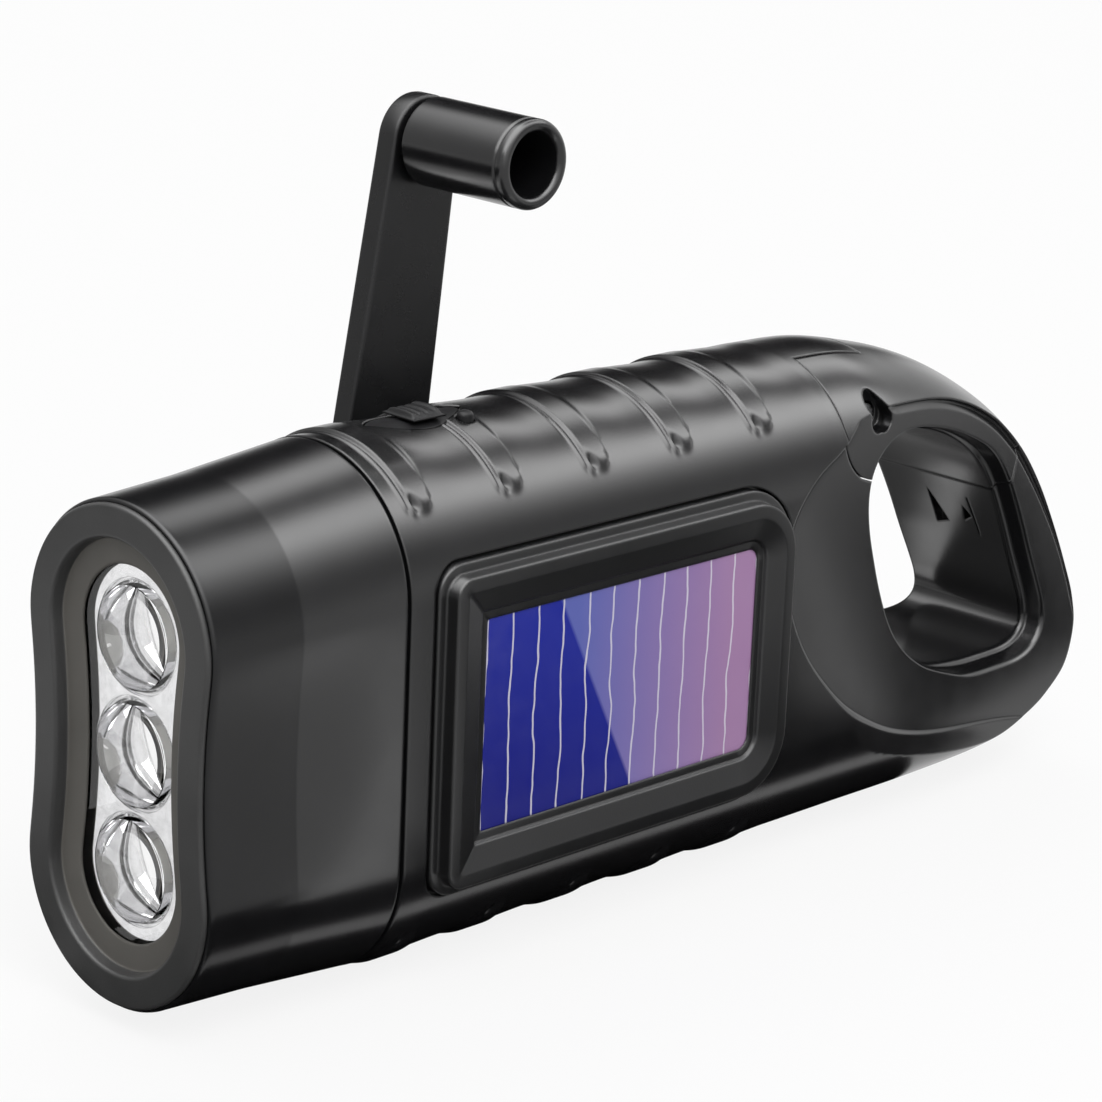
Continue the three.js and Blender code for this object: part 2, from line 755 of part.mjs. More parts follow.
/** The hollow inside the body. */
function bodyCavity() {
  const room = bodyBlock(wall).subtract(nearFacet(wall))
    .intersect(block(-outer, cavityEnd, -outer, outer, -outer, outer));
  const pocketRoom = rod(pocketX, pocketZ, pocketRadius + pocketWall + gap, -knobReach - gap, farInner, 32);
  return room.add(pocketRoom);
}
const cavity = bodyCavity();

// Materials.
const glossBlack = finish(0x17181a, 0.28);
const satinBlack = finish(0x1d1e20, 0.42);
const rimGrey = finish(0x3a3b3d, 0.6);
const clearLens = finish(0xe8eef2, 0.06, 0, 0.3);
const chromed = finish(0xd8dadc, 0.12, 0.9);
const steel = finish(0x9a9da0, 0.35, 0.9);
const brass = finish(0xb08d4a, 0.4, 0.8);
const gearWhite = finish(0xd9d6cc, 0.5);
const cellBlue = finish(0x2a2a85, 0.2);
const boardGreen = finish(0x1f5a38, 0.55);
const copper = finish(0x9c5a32, 0.4, 0.7);
const magnetGrey = finish(0x4c4d50, 0.5, 0.5);
const ledWhite = finish(0xf2efdc, 0.2, 0, 0.8);
const batteryBlue = finish(0x2f5d8c, 0.5);

// Carabiner gate, its pin and its spring.
const tongueRadius = gateHeelRadius - 2 * gap;
const gateRegion = plateXZ(gateOutline(0, gateSwing / 2), -outer, outer);
const roomRegion = plateXZ(gateOutline(gap, gateSwing + gateSwing / 2), -outer, outer);

/** A disc about the gate's pin with the block behind it and the crown above, within a half width. */
function tongueShape(radius, crown, half) {
  const back = block(cavityEnd, gatePivotX, -half, half, gatePivotZ - radius, bodyHalfTop + over);
  const top = block(cavityEnd, gatePivotX + crown, -half, half, gatePivotZ, bodyHalfTop + over);
  return rod(gatePivotX, gatePivotZ, radius, -half, half, 32).add(back).add(top);
}

/** The tongue of the housing that the gate's two cheeks straddle. */
function hingeTongue() {
  const bore = rod(gatePivotX, gatePivotZ, gatePinRadius + runGap, -outer, outer);
  const springStart = tongueHalfWidth - springWidth - gap;
  const springRoom = rod(gatePivotX, gatePivotZ, springRadius + gap, springStart, outer);
  return bodyWithRibs.intersect(tongueShape(tongueRadius, tongueCrown, tongueHalfWidth))
    .subtract(bore).subtract(springRoom);
}

/** The slanted oval opening in front of the pin's near end. */
function pinSlot() {
  const steps = 8;
  const slant = Math.atan2(-pinSlotDrop, pinSlotLean);
  const points = [];
  [1, -1].forEach((sign) => {
    for (let k = 0; k <= steps; k += 1) {
      const angle = slant - (sign * Math.PI) / 2 + (Math.PI * k) / steps;
      points.push([
        gatePivotX + sign * pinSlotLean + pinSlotRadius * Math.cos(angle),
        gatePivotZ - sign * pinSlotDrop + pinSlotRadius * Math.sin(angle),
      ]);
    }
  });
  return plateXZ(points, -outer, -gatePinNear);
}

/** The gate: two cheeks beside the hinge tongue that join into the bar up to the nose. */
function gate() {
  const tongueRoom = tongueShape(gateHeelRadius, tongueCrown + gap, tongueHalfWidth + gap);
  const bore = rod(gatePivotX, gatePivotZ, gatePinRadius + gap, -outer, outer);
  return bodyWithRibs.intersect(gateRegion).subtract(tongueRoom).subtract(bore).subtract(pinSlot());
}
piece('gate', gate(), glossBlack);
piece('gate_pin', rod(gatePivotX, gatePivotZ, gatePinRadius, -gatePinNear, gatePinFar), steel);
piece('gate_spring', tube(gatePivotX, gatePivotZ, springRadius, gatePinRadius + gap,
  tongueHalfWidth - springWidth, tongueHalfWidth), steel);

// The panel's inset to the cell's edge, the bush's radius and the level of the screw heads' seat.
const cellInset = frameRim + frameLedge - cellMargin;
const bushRadius = hubStubRadius + runGap + bushWall;
const screwSeat = bodyHalfFar - counterboreDepth - wall / 2;

// Levels of the switch plate.
const plateFace = bodyHalfTop + switchPlateProud;
const plateBase = plateFace - switchPlateThickness;

/** The slot that the slider's stem runs in, wider by extra on all sides. */
function stemSlot(extra) {
  const length = (stemLength + switchTravel) / 2 + gap + extra;
  const width = stemWidth / 2 + gap + extra;
  return block(switchX - length, switchX + length, -width, width, bodyHalfTop - wall - over, outer);
}

// Screw posts and their bores.
const postFoot = -nearInner - wall / 4;
const posts = join(postPlaces.map(([x, z]) => rod(x, z, postRadius, postFoot, splitY - gap, 16)));
const boreRadius = screwShankRadius + gap / 2;
const boreEnd = splitY - screwLength;
const postBores = join(postPlaces.map(([x, z]) => rod(x, z, boreRadius, boreEnd, splitY + over, 12)));
const bodyOnly = block(seatX, outer, -outer, outer, -outer, outer);

/** The main housing: the solar side of the body with the whole carabiner loop. */
function housing() {
  const everything = block(-outer, outer, -outer, outer, -outer, outer);
  const region = everything.subtract(coverRegion(-gap));
  const shell = bodyWithRibs
    .intersect(bodyOnly)
    .subtract(cavity)
    .add(bodyWithRibs.intersect(posts))
    .intersect(region)
    .subtract(postBores)
    .subtract(roomRegion)
    .add(hingeTongue());
  const panelSeat = plateXZ(panelOutline(-gap), -outer, -panelFloor);
  const boardSeat = plateXZ(panelOutline(cellInset - gap), -outer, -nearInner + over);
  const bed = leaf(switchPlateLength + 2 * gap, switchPlateWidth + 2 * gap);
  const plateSeat = plateXY(bed, plateBase - gap / 2, outer);
  const pegBore = barZ(indicatorX, indicatorY, indicatorRadius + gap / 2, bodyHalfTop - over, outer);
  return shell
    .subtract(pegBore)
    .subtract(panelSeat)
    .subtract(boardSeat)
    .subtract(plateSeat)
    .subtract(stemSlot(gap));
}
piece('main_housing', housing(), glossBlack);

/** The crank-side cover with the hub's recess, the knob's pocket and the screw bosses. */
function cover() {
  const skin = bodyWithRibs
    .intersect(bodyOnly)
    .intersect(coverRegion(0))
    .subtract(bodyBlock(wall));
  const boss = rod(hubX, hubZ, hubBossRadius, bossInner, recessFloor + gap, 40);
  const cup = rod(pocketX, pocketZ, pocketRadius + pocketWall, -knobReach, bodyHalfFar - wall / 2, 32);
  const bossEnd = farInner + wall / 2;
  const bosses = join(postPlaces.map(([x, z]) => rod(x, z, postRadius, splitY, bossEnd, 16)));
  const recess = rod(hubX, hubZ, hubRadius + gap, recessFloor, outer, 40);
  const bushBore = rod(hubX, hubZ, bushRadius + gap / 2, -outer, outer, 32);
  const pocket = rod(pocketX, pocketZ, pocketRadius, pocketWall - knobReach, outer, 32);
  const shanks = postPlaces.map(([x, z]) => rod(x, z, screwShankRadius + gap, 0, outer, 12));
  const heads = postPlaces.map(([x, z]) => rod(x, z, screwHeadRadius + gap, screwSeat, outer, 16));
  return skin
    .add(bodyWithRibs.intersect(join([boss, cup, bosses])))
    .subtract(recess)
    .subtract(bushBore)
    .subtract(pocket)
    .subtract(join([...shanks, ...heads]));
}
piece('crank_side_cover', cover(), glossBlack);

postPlaces.forEach(([x, z], i) => {
  const head = rod(x, z, screwHeadRadius, screwSeat, screwSeat + screwHeadHeight, 16);
  const shank = rod(x, z, screwShankRadius, boreEnd + over, screwSeat + screwHeadHeight / 2, 12);
  piece(`case_screw_${i + 1}`, head.add(shank), steel);
});

// Head: front ring, shell, lens, reflector and lamps.
const lensFront = bezelSleeveLength + gap / 2;
const lensBack = lensFront + lensThickness;
const lensInset = bezelRim - bezelSleeveWall;

/** The ring round the front opening, with its rounded edge, stepped lip and sleeve. */
function frontRing() {
  const size = headSize(0);
  const edge = bezelEdgeShares.map((t) => {
    const inset = bezelEdge * (1 - Math.sqrt(1 - (1 - t) ** 2));
    return headRing(bezelEdge * t, inset, size);
  });
  const ring = loft([...edge, headRing(bezelThickness, 0, size)]);
  const sleeve = frontPlug(bezelThickness - gap, bezelSleeveLength, lensInset);
  const opening = frontPlug(-over, openingStepDepth, bezelRim);
  const throat = frontPlug(-over, bezelSleeveLength + over, bezelRim + openingStep);
  return ring.add(sleeve).subtract(opening).subtract(throat);
}
piece('front_bezel', frontRing(), rimGrey);

/** The head shell with the lens seat in front and the spigot that the body slides over. */
function headShell() {
  const sleeve = (x0, x1, inset) => loft([headRing(x0, inset), headRing(x1, inset)]);
  const ledgeEnd = lensBack + reflectorPlate + wall;
  const spigotInner = wall + gap + spigotWall;
  const skin = headBlock(bezelThickness + gap / 2, headLength, 0);
  const pocket = frontPlug(-over, lensBack + reflectorPlate + gap, lensInset - gap / 2);
  const ledge = frontPlug(-over, ledgeEnd, lensInset + wall);
  const hollow = headBlock(ledgeEnd, headLength, wall)
    .add(sleeve(headLength - gap, headLength + over, wall));
  const spigot = sleeve(headLength - wall, headLength + spigotLength, wall + gap)
    .add(sleeve(headLength - wall, headLength, wall / 2))
    .subtract(sleeve(headLength - wall - over, headLength + spigotLength + over, spigotInner));
  return skin.subtract(pocket).subtract(ledge).subtract(hollow).add(spigot);
}
piece('head_shell', headShell(), glossBlack);

const lampHeights = [lensPitch, 0, -lensPitch];

/** A body turned about the X axis through (0, z), from a profile of [radius, x] points. */
function turned(z, profile, sides = 24) {
  const lathe = new THREE.LatheGeometry(profile.map(([r, x]) => new THREE.Vector2(r, x)), sides);
  lathe.rotateZ(-Math.PI / 2);
  lathe.translate(0, 0, z);
  return solid(lathe);
}

/** The clear lens plate with its three domes. */
function lens() {
  const plate = frontPlug(lensFront, lensBack, lensInset);
  const domes = lampHeights.map((z) => {
    const steps = 5;
    const middle = lensFront + lensThickness / 2;
    const profile = [[0, middle], [domeRadius, middle], [domeRadius, lensFront]];
    for (let k = 1; k <= steps; k += 1) {
      const angle = (Math.PI / 2) * (k / steps);
      const radius = k === steps ? 0 : domeRadius * Math.cos(angle);
      profile.push([radius, lensFront - domeHeight * Math.sin(angle)]);
    }
    return turned(z, profile.reverse());
  });
  return join([plate, ...domes]);
}
piece('lens_plate', lens(), clearLens);

const reflectorFront = lensBack + gap / 2;
const cupBack = reflectorFront + cupDepth;

/** The bright plate behind the lens with its three cups. */
function reflector() {
  const plate = frontPlug(reflectorFront, reflectorFront + reflectorPlate, lensInset);
  const cup = (grow, x0, x1) => (z) => turned(z, [
    [0, x0],
    [ringRadius + grow, x0],
    [ringRadius + grow, reflectorFront + gap],
    [cupThroatRadius + grow, cupBack],
    [cupThroatRadius + grow, x1],
    [0, x1],
  ]);
  const outside = lampHeights.map(cup(cupWall, reflectorFront, cupBack));
  const inside = lampHeights.map(cup(0, reflectorFront - over, cupBack + over));
  const behind = frontPlug(reflectorFront, outer, lensInset);
  return join([plate, ...outside.map((c) => c.intersect(behind))]).subtract(join(inside));
}
piece('reflector', reflector(), chromed);

const boardFront = cupBack + gap;
const boardBack = boardFront + ledBoardThickness;
piece('led_board', frontPlug(boardFront, boardBack, lensInset + 3 * gap), boardGreen);
lampHeights.forEach((z, i) => {
  const seat = boardFront - gap / 3;
  const profile = [[0, seat], [ledRadius + gap, seat], [ledRadius + gap, seat - ledFlange],
    [ledRadius, seat - ledFlange], [ledRadius, seat - ledLength + ledRadius]];
  const steps = 4;
  for (let k = 1; k <= steps; k += 1) {
    const angle = (Math.PI / 2) * (k / steps);
    const x = seat - ledLength + ledRadius - ledRadius * Math.sin(angle);
    profile.push([k === steps ? 0 : ledRadius * Math.cos(angle), x]);
  }
  piece(`led_${i + 1}`, turned(z, profile.reverse(), 16), ledWhite);
});

// Solar panel.

/** The stepped frame round the solar cell. */
function solarFrame() {
  const low = plateXZ(panelOutline(0), frameStepDrop - panelFront, -panelFloor - gap);
  const high = plateXZ(panelOutline(frameStep), -panelFront, -panelFloor - gap);
  const recess = plateXZ(panelOutline(frameRim), -outer, -panelFront + frameLedgeDrop);
  const window = plateXZ(panelOutline(frameRim + frameLedge), -outer, outer);
  const ledgeBack = -panelFront + frameLedgeDrop + frameLedgeThickness;
  const cellRoom = plateXZ(panelOutline(cellInset - gap), ledgeBack, outer);
  return low.add(high).subtract(recess).subtract(window).subtract(cellRoom);
}
piece('solar_frame', solarFrame(), satinBlack);
const cellFront = -panelFront + frameLedgeDrop + frameLedgeThickness + gap / 2;
const cellOutline = panelOutline(cellInset);
const backingFront = cellFront + cellThickness + gap / 3;
piece('solar_cell', plateXZ(cellOutline, cellFront, cellFront + cellThickness), cellBlue);
piece('solar_backing_board', plateXZ(cellOutline, backingFront, backingFront + boardThickness),
  boardGreen);

// Switch and indicator on top.
const switchBed = plateXY(leaf(switchPlateLength, switchPlateWidth), plateBase, plateFace);
piece('switch_plate', switchBed.subtract(stemSlot(0)), satinBlack);
const sliderX = switchX - switchTravel / 2;
const sliderBase = plateFace + gap / 2;

/** The thumb piece with its cross ridges, and the stem that goes down through the slot. */
function slider() {
  const end = sliderLength / 2;
  const edge = sliderHeight * sliderEdgeShare;
  const points = [[-end, 0], [end, 0], [end, edge]];
  for (let k = sliderRidges - 1; k >= 0; k -= 1) {
    const x = -end + (sliderLength * (k + 1 / 2)) / sliderRidges;
    const half = end / sliderRidges;
    const top = sliderHeight + sliderRidgeHeight;
    points.push([x + half * ridgeFootShare, sliderHeight], [x + half * ridgeTopShare, top]);
    points.push([x - half * ridgeTopShare, top], [x - half * ridgeFootShare, sliderHeight]);
  }
  points.push([-end, edge]);
  const outline = points.map(([x, z]) => [sliderX + x, sliderBase + z]);
  const thumb = plateXZ(outline, -sliderWidth / 2, sliderWidth / 2);
  const halfStem = stemLength / 2;
  const stem = block(sliderX - halfStem, sliderX + halfStem, -stemWidth / 2, stemWidth / 2,
    bodyHalfTop - wall - gap, sliderBase + sliderHeight / 2);
  return thumb.add(stem);
}
piece('switch_slider', slider(), satinBlack);
const switchTop = bodyHalfTop - wall - 2 * gap;

/** The switch under the housing's top, open above for the stem. */
function switchBody() {
  const half = switchBodyLength / 2;
  const box = block(switchX - half, switchX + half, -switchBodyWidth / 2, switchBodyWidth / 2,
    switchTop - switchBodyHeight, switchTop);
  const room = block(sliderX - stemLength, sliderX + stemLength + switchTravel, -stemWidth, stemWidth,
    switchTop - wall, switchTop + over);
  return box.subtract(room);
}
piece('switch_body', switchBody(), satinBlack);
const peg = barZ(indicatorX, indicatorY, indicatorRadius, bodyHalfTop - wall, bodyHalfTop + indicatorProud);
piece('charge_indicator', peg, satinBlack);

// Crank: hub disc, bush, arm, hinge pin, knob.
const lean = THREE.MathUtils.degToRad(crankLean);
const crank = new THREE.Group();
crank.position.set(hubX, 0, hubZ);
crank.rotation.y = lean;
root.add(crank);

// The crank is drawn with its arm upright along +Z from its own hub and then leans as a group.
const tongueStart = hubRadius + 2 * gap;

/** The hub disc, slotted for the arm, with the stub shaft that carries the first gear. */
function crankHub() {
  const disc = rod(0, 0, hubRadius, recessFloor + gap, armOuter, 48);
  const stub = rod(0, 0, hubStubRadius, driveBottom, recessFloor + wall / 2);
  const half = armTongueWidth / 2 + gap;
  const slot = block(-half, half, armInner - gap, outer, -outer, outer);
  const pinBore = barX(0, armMiddle, 0, hingePinRadius + runGap / 2, outer);
  return disc.add(stub).subtract(slot).subtract(pinBore);
}
piece('crank_hub', crankHub(), satinBlack, crank);

piece('arm_hinge_pin', barX(0, armMiddle, 0, hingePinRadius, 2 * hingePinHalf), steel, crank);

const hubBush = tube(hubX, hubZ, bushRadius, hubStubRadius + runGap, bossInner, recessFloor - gap / 3, 32);
piece('hub_bush', hubBush, brass);

/** The arm: a tapering blade with a round top, and a tongue hinged in the hub's slot. */
function crankArm() {
  const angle = Math.asin((armBaseRadius - armTipRadius) / crankRadius);
  const steps = 16;
  const points = [];
  for (let k = 0; k <= steps; k += 1) {
    const a = angle + ((Math.PI - 2 * angle) * k) / steps;
    points.push([armTipRadius * Math.cos(a), crankRadius + armTipRadius * Math.sin(a)]);
  }
  const halfFoot = (armBaseRadius - tongueStart * Math.sin(angle)) / Math.cos(angle);
  points.push([-halfFoot, tongueStart], [halfFoot, tongueStart]);
  const blade = plateXZ(points, armInner, armOuter);
  const half = armTongueWidth / 2;
  const tongue = block(-half, half, armInner, armOuter, 0, tongueStart + wall);
  const knuckle = barX(0, armMiddle, 0, armThickness / 2, armTongueWidth, 20);
  const pinBore = barX(0, armMiddle, 0, hingePinRadius + runGap, outer);
  const knobBoreHole = rod(0, crankRadius, knobPinRadius + gap / 3, -outer, outer);
  const headSeat = rod(0, crankRadius, knobPinHead + gap, armOuter - knobPinHeadHeight, outer);
  return join([blade, tongue, knuckle]).subtract(join([pinBore, knobBoreHole, headSeat]));
}
piece('crank_arm', crankArm(), satinBlack, crank);

const knobBack = armInner - gap;
const knobFront = knobBack - knobLength;
const knobInside = knobBack - knobFloor;

/** The knob: a tube with a rounded rim, open towards the solar side, turning on its pin. */
function knob() {
  const bore = knobPinRadius + runGap;
  const rim = (knobRadius - knobBore) / 2;
  const mid = knobBore + rim;
  const steps = 5;
  const profile = [[bore, knobBack], [knobRadius, knobBack], [knobRadius, knobFront + rim]];
  for (let k = 1; k < steps; k += 1) {
    const angle = (Math.PI * k) / steps;
    profile.push([mid + rim * Math.cos(angle), knobFront + rim - rim * Math.sin(angle)]);
  }
  profile.push([knobBore, knobFront + rim], [knobBore, knobInside], [bore, knobInside]);
  profile.push(profile[0]);
  const lathe = new THREE.LatheGeometry(profile.map(([r, y]) => new THREE.Vector2(r, y)).reverse(), 28);
  lathe.translate(0, 0, crankRadius);
  return solid(lathe);
}
piece('crank_knob', knob(), glossBlack, crank);

const pinSeat = armOuter - knobPinHeadHeight + gap / 6;
const pinFoot = knobInside - gap;
const knobPin = join([
  rod(0, crankRadius, knobPinRadius, pinFoot, pinSeat + gap),
  rod(0, crankRadius, knobPinHead, pinSeat, pinSeat + knobPinHeadHeight - gap / 2),
  rod(0, crankRadius, knobPinHead, pinFoot - knobPinHeadHeight, pinFoot),
]);
piece('knob_pin', knobPin, steel, crank);

// Gears.

/** Outline of an involute gear about the origin, its first tooth centred on the given bearing. */
function gearOutline(teeth, module, bearing) {
  const alpha = THREE.MathUtils.degToRad(pressureAngle);
  const pitch = (teeth * module) / 2;
  const base = pitch * Math.cos(alpha);
  const tip = pitch + addendumShare * module;
  const foot = pitch - dedendumShare * module;
  const involute = (r) => {
    const a = Math.acos(Math.min(1, base / r));
    return Math.tan(a) - a;
  };
  const halfTooth = Math.PI / (2 * teeth) - backlash / 2 / (2 * pitch) + involute(pitch);
  const start = Math.max(base, foot);
  const radii = [start, pitch, tip];
  const points = [];
  const put = (r, a) => points.push([r * Math.cos(a), r * Math.sin(a)]);
  for (let i = 0; i < teeth; i += 1) {
    const centre = bearing + (2 * Math.PI * i) / teeth;
    if (foot < start) put(foot, centre - (halfTooth - involute(start)));
    radii.forEach((r) => put(r, centre - (halfTooth - involute(r))));
    [...radii].reverse().forEach((r) => put(r, centre + (halfTooth - involute(r))));
    if (foot < start) put(foot, centre + (halfTooth - involute(start)));
  }
  return points;
}

/** A toothed wheel at (x, z); bearing is the direction of one tooth's middle, in radians. */
function gear(centre, teeth, module, bearing, y0, y1) {
  const outline = gearOutline(teeth, module, bearing).map(([x, z]) => [centre.x + x, centre.z + z]);
  return plateXZ(outline, y0, y1);
}

const bearingOf = (from, to) => Math.atan2(to.z - from.z, to.x - from.x);
const driveBearing = bearingOf(hub, firstAxle);
const firstPinionBearing = driveBearing + Math.PI + Math.PI / pinionTeeth;
const firstWheelBearing = bearingOf(firstAxle, secondAxle);
const secondPinionBearing = firstWheelBearing + Math.PI + Math.PI / pinionTeeth;
const secondWheelBearing = bearingOf(secondAxle, rotor);
const rotorPinionBearing = secondWheelBearing + Math.PI + Math.PI / pinionTeeth;

const driveGear = gear(hub, driveTeeth, driveModule, driveBearing, driveBottom, driveTop)
  .subtract(rod(hubX, hubZ, hubStubRadius + gap / 3, -outer, outer));
piece('drive_gear', driveGear, gearWhite);
const screwTop = driveBottom - gap / 3;
const gearScrew = rod(hubX, hubZ, driveWasherRadius, screwTop - screwHeadHeight, screwTop, 20);
piece('drive_gear_screw', gearScrew, steel);

const firstWheel = gear(firstAxle, wheelTeeth, firstModule, firstWheelBearing, firstBottom, firstTop);
const firstPinion = gear(firstAxle, pinionTeeth, driveModule, firstPinionBearing, firstTop - gap, driveTop);
const firstBore = rod(firstAxle.x, firstAxle.z, axleRadius + runGap, -outer, outer, 16);
piece('compound_gear_1', firstWheel.add(firstPinion).subtract(firstBore), gearWhite);

const secondWheel = gear(secondAxle, wheelTeeth, secondModule, secondWheelBearing, secondBottom, secondTop);
const secondFoot = secondTop - gap;
const secondPinion = gear(secondAxle, pinionTeeth, firstModule, secondPinionBearing, secondFoot, firstTop);
const secondBore = rod(secondAxle.x, secondAxle.z, axleRadius + runGap, -outer, outer, 16);
piece('compound_gear_2', secondWheel.add(secondPinion).subtract(secondBore), gearWhite);

const rotorTeeth = gear(rotor, pinionTeeth, secondModule, rotorPinionBearing, secondBottom, secondTop);
const rotorBore = rod(rotor.x, rotor.z, rotorShaftRadius + gap / 3, -outer, outer, 12);
piece('rotor_pinion', rotorTeeth.subtract(rotorBore), brass);

const axleTop = farInner - gap;
piece('gear_axle_1', rod(firstAxle.x, firstAxle.z, axleRadius, plateBottom, axleTop, 16), steel);
piece('gear_axle_2', rod(secondAxle.x, secondAxle.z, axleRadius, plateBottom, axleTop, 16), steel);

// Chassis plate, generator, battery and circuit board.

/** The plate across the body that carries the axles and the generator. */
function gearPlate() {
  const slab = block(plateStart, plateEnd, plateBottom, plateTop, -outer, outer);
  const region = bodyBlock(wall + gap).intersect(slab);
  const holes = [firstAxle, secondAxle].map(({ x, z }) => rod(x, z, axleRadius + gap / 3, -outer, outer, 16));
  const shaftHole = rod(rotor.x, rotor.z, rotorShaftRadius + gap, -outer, outer, 16);
  const postHoles = postPlaces.map(([x, z]) => rod(x, z, postRadius + gap, -outer, outer, 20));
  const pocketRoom = rod(pocketX, pocketZ, pocketRadius + pocketWall + gap, -outer, outer, 32);
  return region.subtract(join([...holes, shaftHole, ...postHoles, pocketRoom]));
}
piece('gear_plate', gearPlate(), satinBlack);

const canTop = plateBottom - gap / 3;
const canBottom = canTop - statorHeight;
const canFloor = canBottom + statorWall;
const canInner = statorRadius - statorWall;
const can = rod(rotor.x, rotor.z, statorRadius, canBottom, canTop, 32)
  .subtract(rod(rotor.x, rotor.z, canInner, canFloor, canTop + over, 32))
  .subtract(rod(rotor.x, rotor.z, rotorShaftRadius + gap / 2, -outer, outer, 12));
piece('stator_can', can, steel);
const coilBottom = canFloor + gap / 3;
const coilTop = coilBottom + coilHeight;
piece('coil_winding', tube(rotor.x, rotor.z, canInner - gap / 2, coilInner, coilBottom, coilTop, 32), copper);
const magnetBottom = coilBottom + (coilHeight - magnetHeight) / 2;
const magnetTop = magnetBottom + magnetHeight;
const magnetBore = rotorShaftRadius + gap / 3;
piece('rotor_magnet', tube(rotor.x, rotor.z, magnetRadius, magnetBore, magnetBottom, magnetTop), magnetGrey);
const shaftTop = secondTop - gap / 3;
piece('rotor_shaft', rod(rotor.x, rotor.z, rotorShaftRadius, canBottom - gap, shaftTop, 12), steel);

const pcbStart = seatX + spigotLength + gap;
const pcbFace = -nearInner + gap;
const pcbBack = pcbFace + pcbThickness;
const circuitBoard = block(pcbStart, pcbEnd, pcbFace, pcbBack, -pcbHeight / 2, pcbHeight / 2);
piece('circuit_board', circuitBoard, boardGreen);
const batteryY = pcbBack + gap + batteryRadius;
const batteryLow = batteryZ - batteryLength / 2;
piece('battery_pack', barZ(batteryX, batteryY, batteryRadius, batteryLow, batteryLow + batteryLength, 24),
  batteryBlue);

// The origin goes to the bottom centre of the whole.
root.updateMatrixWorld(true);
const bounds = new THREE.Box3().setFromObject(root, true);
root.position.set(
  -(bounds.min.x + bounds.max.x) / 2,
  -(bounds.min.y + bounds.max.y) / 2,
  -bounds.min.z,
);
root.name = '';
export default root;
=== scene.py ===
# %% [markdown]
# # A hand crank flashlight, piece by piece
# The flashlight is a palm-sized black plastic shell with three lamps in front, a solar panel on one
# side, a folding crank on the other and a carabiner for a tail. The CAD model already says where each
# piece sits and how it moves. This script gives the pieces that show their final surface.

# %% Load the frame
import bmesh
import bpy
import numpy as np
from mathutils import Matrix, Vector


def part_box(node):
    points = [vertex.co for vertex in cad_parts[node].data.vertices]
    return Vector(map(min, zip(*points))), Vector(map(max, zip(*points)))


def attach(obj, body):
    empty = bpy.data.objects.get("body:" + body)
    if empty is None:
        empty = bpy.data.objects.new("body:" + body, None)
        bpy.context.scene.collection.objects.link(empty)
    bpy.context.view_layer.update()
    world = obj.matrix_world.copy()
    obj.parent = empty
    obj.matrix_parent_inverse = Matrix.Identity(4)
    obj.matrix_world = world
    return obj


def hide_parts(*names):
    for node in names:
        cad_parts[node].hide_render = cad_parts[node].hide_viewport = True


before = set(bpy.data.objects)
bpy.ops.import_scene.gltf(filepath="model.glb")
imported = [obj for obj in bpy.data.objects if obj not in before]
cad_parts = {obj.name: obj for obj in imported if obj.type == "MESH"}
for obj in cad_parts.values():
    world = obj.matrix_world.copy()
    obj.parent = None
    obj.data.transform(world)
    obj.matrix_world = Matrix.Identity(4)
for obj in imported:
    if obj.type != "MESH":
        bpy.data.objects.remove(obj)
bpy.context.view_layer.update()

# %% [markdown]
# ## Where things are
# The sizes below are millimetres on a sheet whose X runs from the front face of the lamp head to the
# tail, with Z = 0 at the middle of the head. One shift moves a point of the sheet into the frame. It is
# worked out from the CAD: the ring round the lens starts at X = 0 of the sheet, the solar frame's face
# is its nearest place and the ribs under the body are its lowest.

# %% Sheet and frame
SHEET_LOW = np.array([0.0, -16.1, -27.3])
FRAME_LOW = 1000.0 * np.array([
    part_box("front_bezel")[0].x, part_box("solar_frame")[0].y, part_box("main_housing")[0].z])
SHIFT = FRAME_LOW - SHEET_LOW


def framed(points):
    """Sheet millimetres to frame metres: (point + shift) / 1000."""
    return (np.asarray(points, float) + SHIFT) / 1000.0


print("shift in mm:", SHIFT.round(3))

# %% [markdown]
# ## The camera
# The photograph was taken from the front left and a little above, with a long lens. The camera's place
# and its three axes were fitted to points that are easy to find on the object, so they are given as
# they came out.

# %% Camera
PHOTO_WIDTH, PHOTO_FOCUS, SENSOR = 1102, 4001, 36
eye = framed([-227.919, -276.166, 130.088])
right = Vector((0.70292, -0.71008, 0.04108))
up = Vector((0.17825, 0.23178, 0.95630))
back = right.cross(up)
camera = bpy.data.objects.new("camera", bpy.data.cameras.new("camera"))
bpy.context.scene.collection.objects.link(camera)
camera.matrix_world = Matrix((*((right[k], up[k], back[k], eye[k]) for k in range(3)), (0, 0, 0, 1)))
camera.data.sensor_width = SENSOR
camera.data.lens = SENSOR * PHOTO_FOCUS / PHOTO_WIDTH
camera.data.clip_start = 0.01
bpy.context.scene.camera = camera
bpy.context.scene.view_settings.view_transform = "Standard"
print("lens in mm:", round(camera.data.lens, 1))

# %% [markdown]
# ## Tools for surfaces
# Most pieces are smooth grids of points: rows of rings that are joined by quads. Numpy works out all
# points of a grid at once. A few helpers turn such a grid into an object, close its ends, and cut one
# closed object out of another.

# %% Grid helpers
FAR = 60.0


def ring_faces(rows, cols, wrap_rows, wrap_cols):
    """Quads (a, b, b + next, a + next) between neighbouring rows and columns of a grid."""
    index = np.arange(rows * cols).reshape(rows, cols)
    if wrap_rows:
        index = np.vstack([index, index[:1]])
    if wrap_cols:
        index = np.hstack([index, index[:, :1]])
    quads = np.stack([index[:-1, :-1], index[:-1, 1:], index[1:, 1:], index[1:, :-1]], -1)
    return quads.reshape(-1, 4).tolist()


